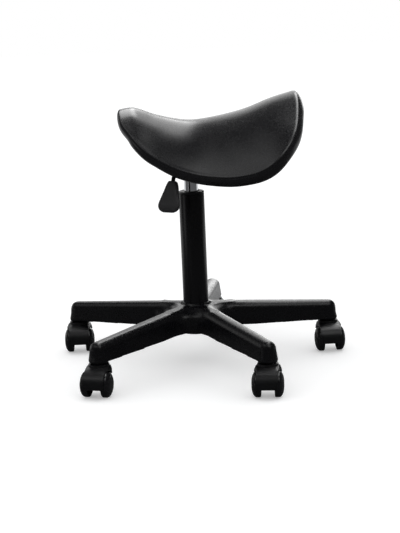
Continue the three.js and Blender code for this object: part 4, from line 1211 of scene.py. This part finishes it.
# Azimuths run clockwise from straight behind the stool, as seen from above.
studioValues = {
    "floorSize": 14,
    # the floor's colour to the camera, and its dim colour to all other light
    "floorSeen": (0.86, 0.865, 0.87), "floorLit": (0.12, 0.12, 0.122), "floorGlow": 0.3,
    # where painted light brightens it behind the stool; place, edge and full radius of a painted pool of
    # light at front left, both seen only by rays other than the camera's
    "floorPaintedLightBehind": (0.2, 0.7), "floorPaintedLightPool": ((-1.26, -1.85, 0), 0.42, 0.26),
    "room": 0.08,
    # left, right, front and rear edge on a ceiling of unit height, softness, level
    "softbox": (0.03, 0.4, 0.1, 1.5, 0.12, 6),
    # azimuth, elevation, full and outer half-angle, level
    "glows": (
        (2, 25, 14, 24, 1.6), (12, 4, 4, 15, 3.2), (-52, 12, 6, 22, 1), (-75, 55, 4, 17, 0.7),
        (-100, 54, 4, 17, 0.7), (-127, 55, 4, 17, 0.8), (-155, 58, 4, 17, 0.8), (-128, 56, 2, 8, 2),
        (140, 57, 3, 18, 4), (-105, 0, 4, 14, 1.2),
    ),
    # place, what it is turned to, size, power and spread of the lamp over the nose
    "noseLamp": ((-0.155, 0.035, 0.61), (-0.15, 0, 0.51), 0.11, 0.15, 2),
}


def addFloor(values):
    size = values["floorSize"] / mm / 2
    corners = [Vector((x * size, y * size, 0)) for x, y in ((-1, -1), (1, -1), (1, 1), (-1, 1))]
    floor = newPiece("floor", (corners, [(0, 1, 2, 3)]))
    material = bpy.data.materials.new("floorPaper")
    recipe = Recipe(material)
    seen = recipe.node("LightPath", output="Is Camera Ray")
    where = recipe.node("TexCoord", output="Object")
    # painted light: to all rays but the camera's, the floor's colour is lighter behind the stool and in a
    # pool at front left, as if lit there, and reflections show it
    place, outer, inner = values["floorPaintedLightPool"]
    away = recipe.node("VectorMath", {"operation": "DISTANCE"}, {0: where, 1: place}, "Value")
    paintedLightBehind = recipe.step(recipe.axis(where, "Y"), *values["floorPaintedLightBehind"])
    lit = recipe.larger(paintedLightBehind, recipe.step(away, outer, inner))
    colour = recipe.mixed(recipe.larger(seen, lit), values["floorLit"], values["floorSeen"])
    paper = recipe.node("BsdfDiffuse", None, {"Color": colour})
    glow = recipe.node("Emission", None, {"Color": (1, 1, 1, 1), "Strength": seen * values["floorGlow"]})
    both = recipe.node("AddShader", None, {0: paper, 1: glow})
    recipe.node("OutputMaterial", None, {"Surface": both})
    floor.data.materials.append(material)


def softbox(recipe, where, left, right, front, rear, softness, strength):
    # a rectangle of light on the ceiling, as seen along each direction
    across, ahead, rise = (recipe.axis(where, side) for side in "XYZ")
    horizon = 0.05
    share = strength
    for place, low, high in ((across, left, right), (ahead, front, rear)):
        at = recipe.maths("DIVIDE", place, recipe.larger(rise, horizon))
        share = share * recipe.step(at, low - softness, low) * recipe.step(at, high + softness, high)
    return share


def addWorld(values):
    # even white to the eye and to soft light; a softbox and glows in a dim room to reflections
    world = bpy.data.worlds.new("studio")
    recipe = Recipe(world)
    world.cycles.sampling_method = "NONE"
    where = recipe.node("TexCoord", output="Generated")
    level = values["room"] + softbox(recipe, where, *values["softbox"])
    for azimuth, elevation, full, outer, strength in values["glows"]:
        around, rise, full, outer = (radians(a) for a in (azimuth, elevation, full, outer))
        middle = (sin(around) * cos(rise), cos(around) * cos(rise), sin(rise))
        facing = recipe.node("VectorMath", {"operation": "DOT_PRODUCT"}, {0: where, 1: middle}, "Value")
        level = level + recipe.step(facing, cos(outer), cos(full)) * strength
    reflected = recipe.node("LightPath", output="Is Glossy Ray")
    strength = 1 + reflected * (level - 1)
    sky = recipe.node("Background", None, {"Color": (1, 1, 1, 1), "Strength": strength})
    recipe.node("OutputWorld", None, {"Surface": sky})
    scene.world = world


def addNoseLamp(values):
    # near enough to be seen by the nose alone, and only in its gloss
    place, target, size, power, spread = values["noseLamp"]
    light = bpy.data.lights.new("noseLamp", "AREA")
    light.size, light.energy, light.spread = size, power, spread
    lamp = bpy.data.objects.new("noseLamp", light)
    away = Vector(place) - Vector(target)
    lamp.matrix_world = Matrix.Translation(place) @ away.to_track_quat("Z", "Y").to_matrix().to_4x4()
    lamp.visible_camera = lamp.visible_diffuse = False
    scene.collection.objects.link(lamp)


addFloor(studioValues)
addWorld(studioValues)
addNoseLamp(studioValues)
scene.view_settings.view_transform = "Standard"

print("stage: finish")
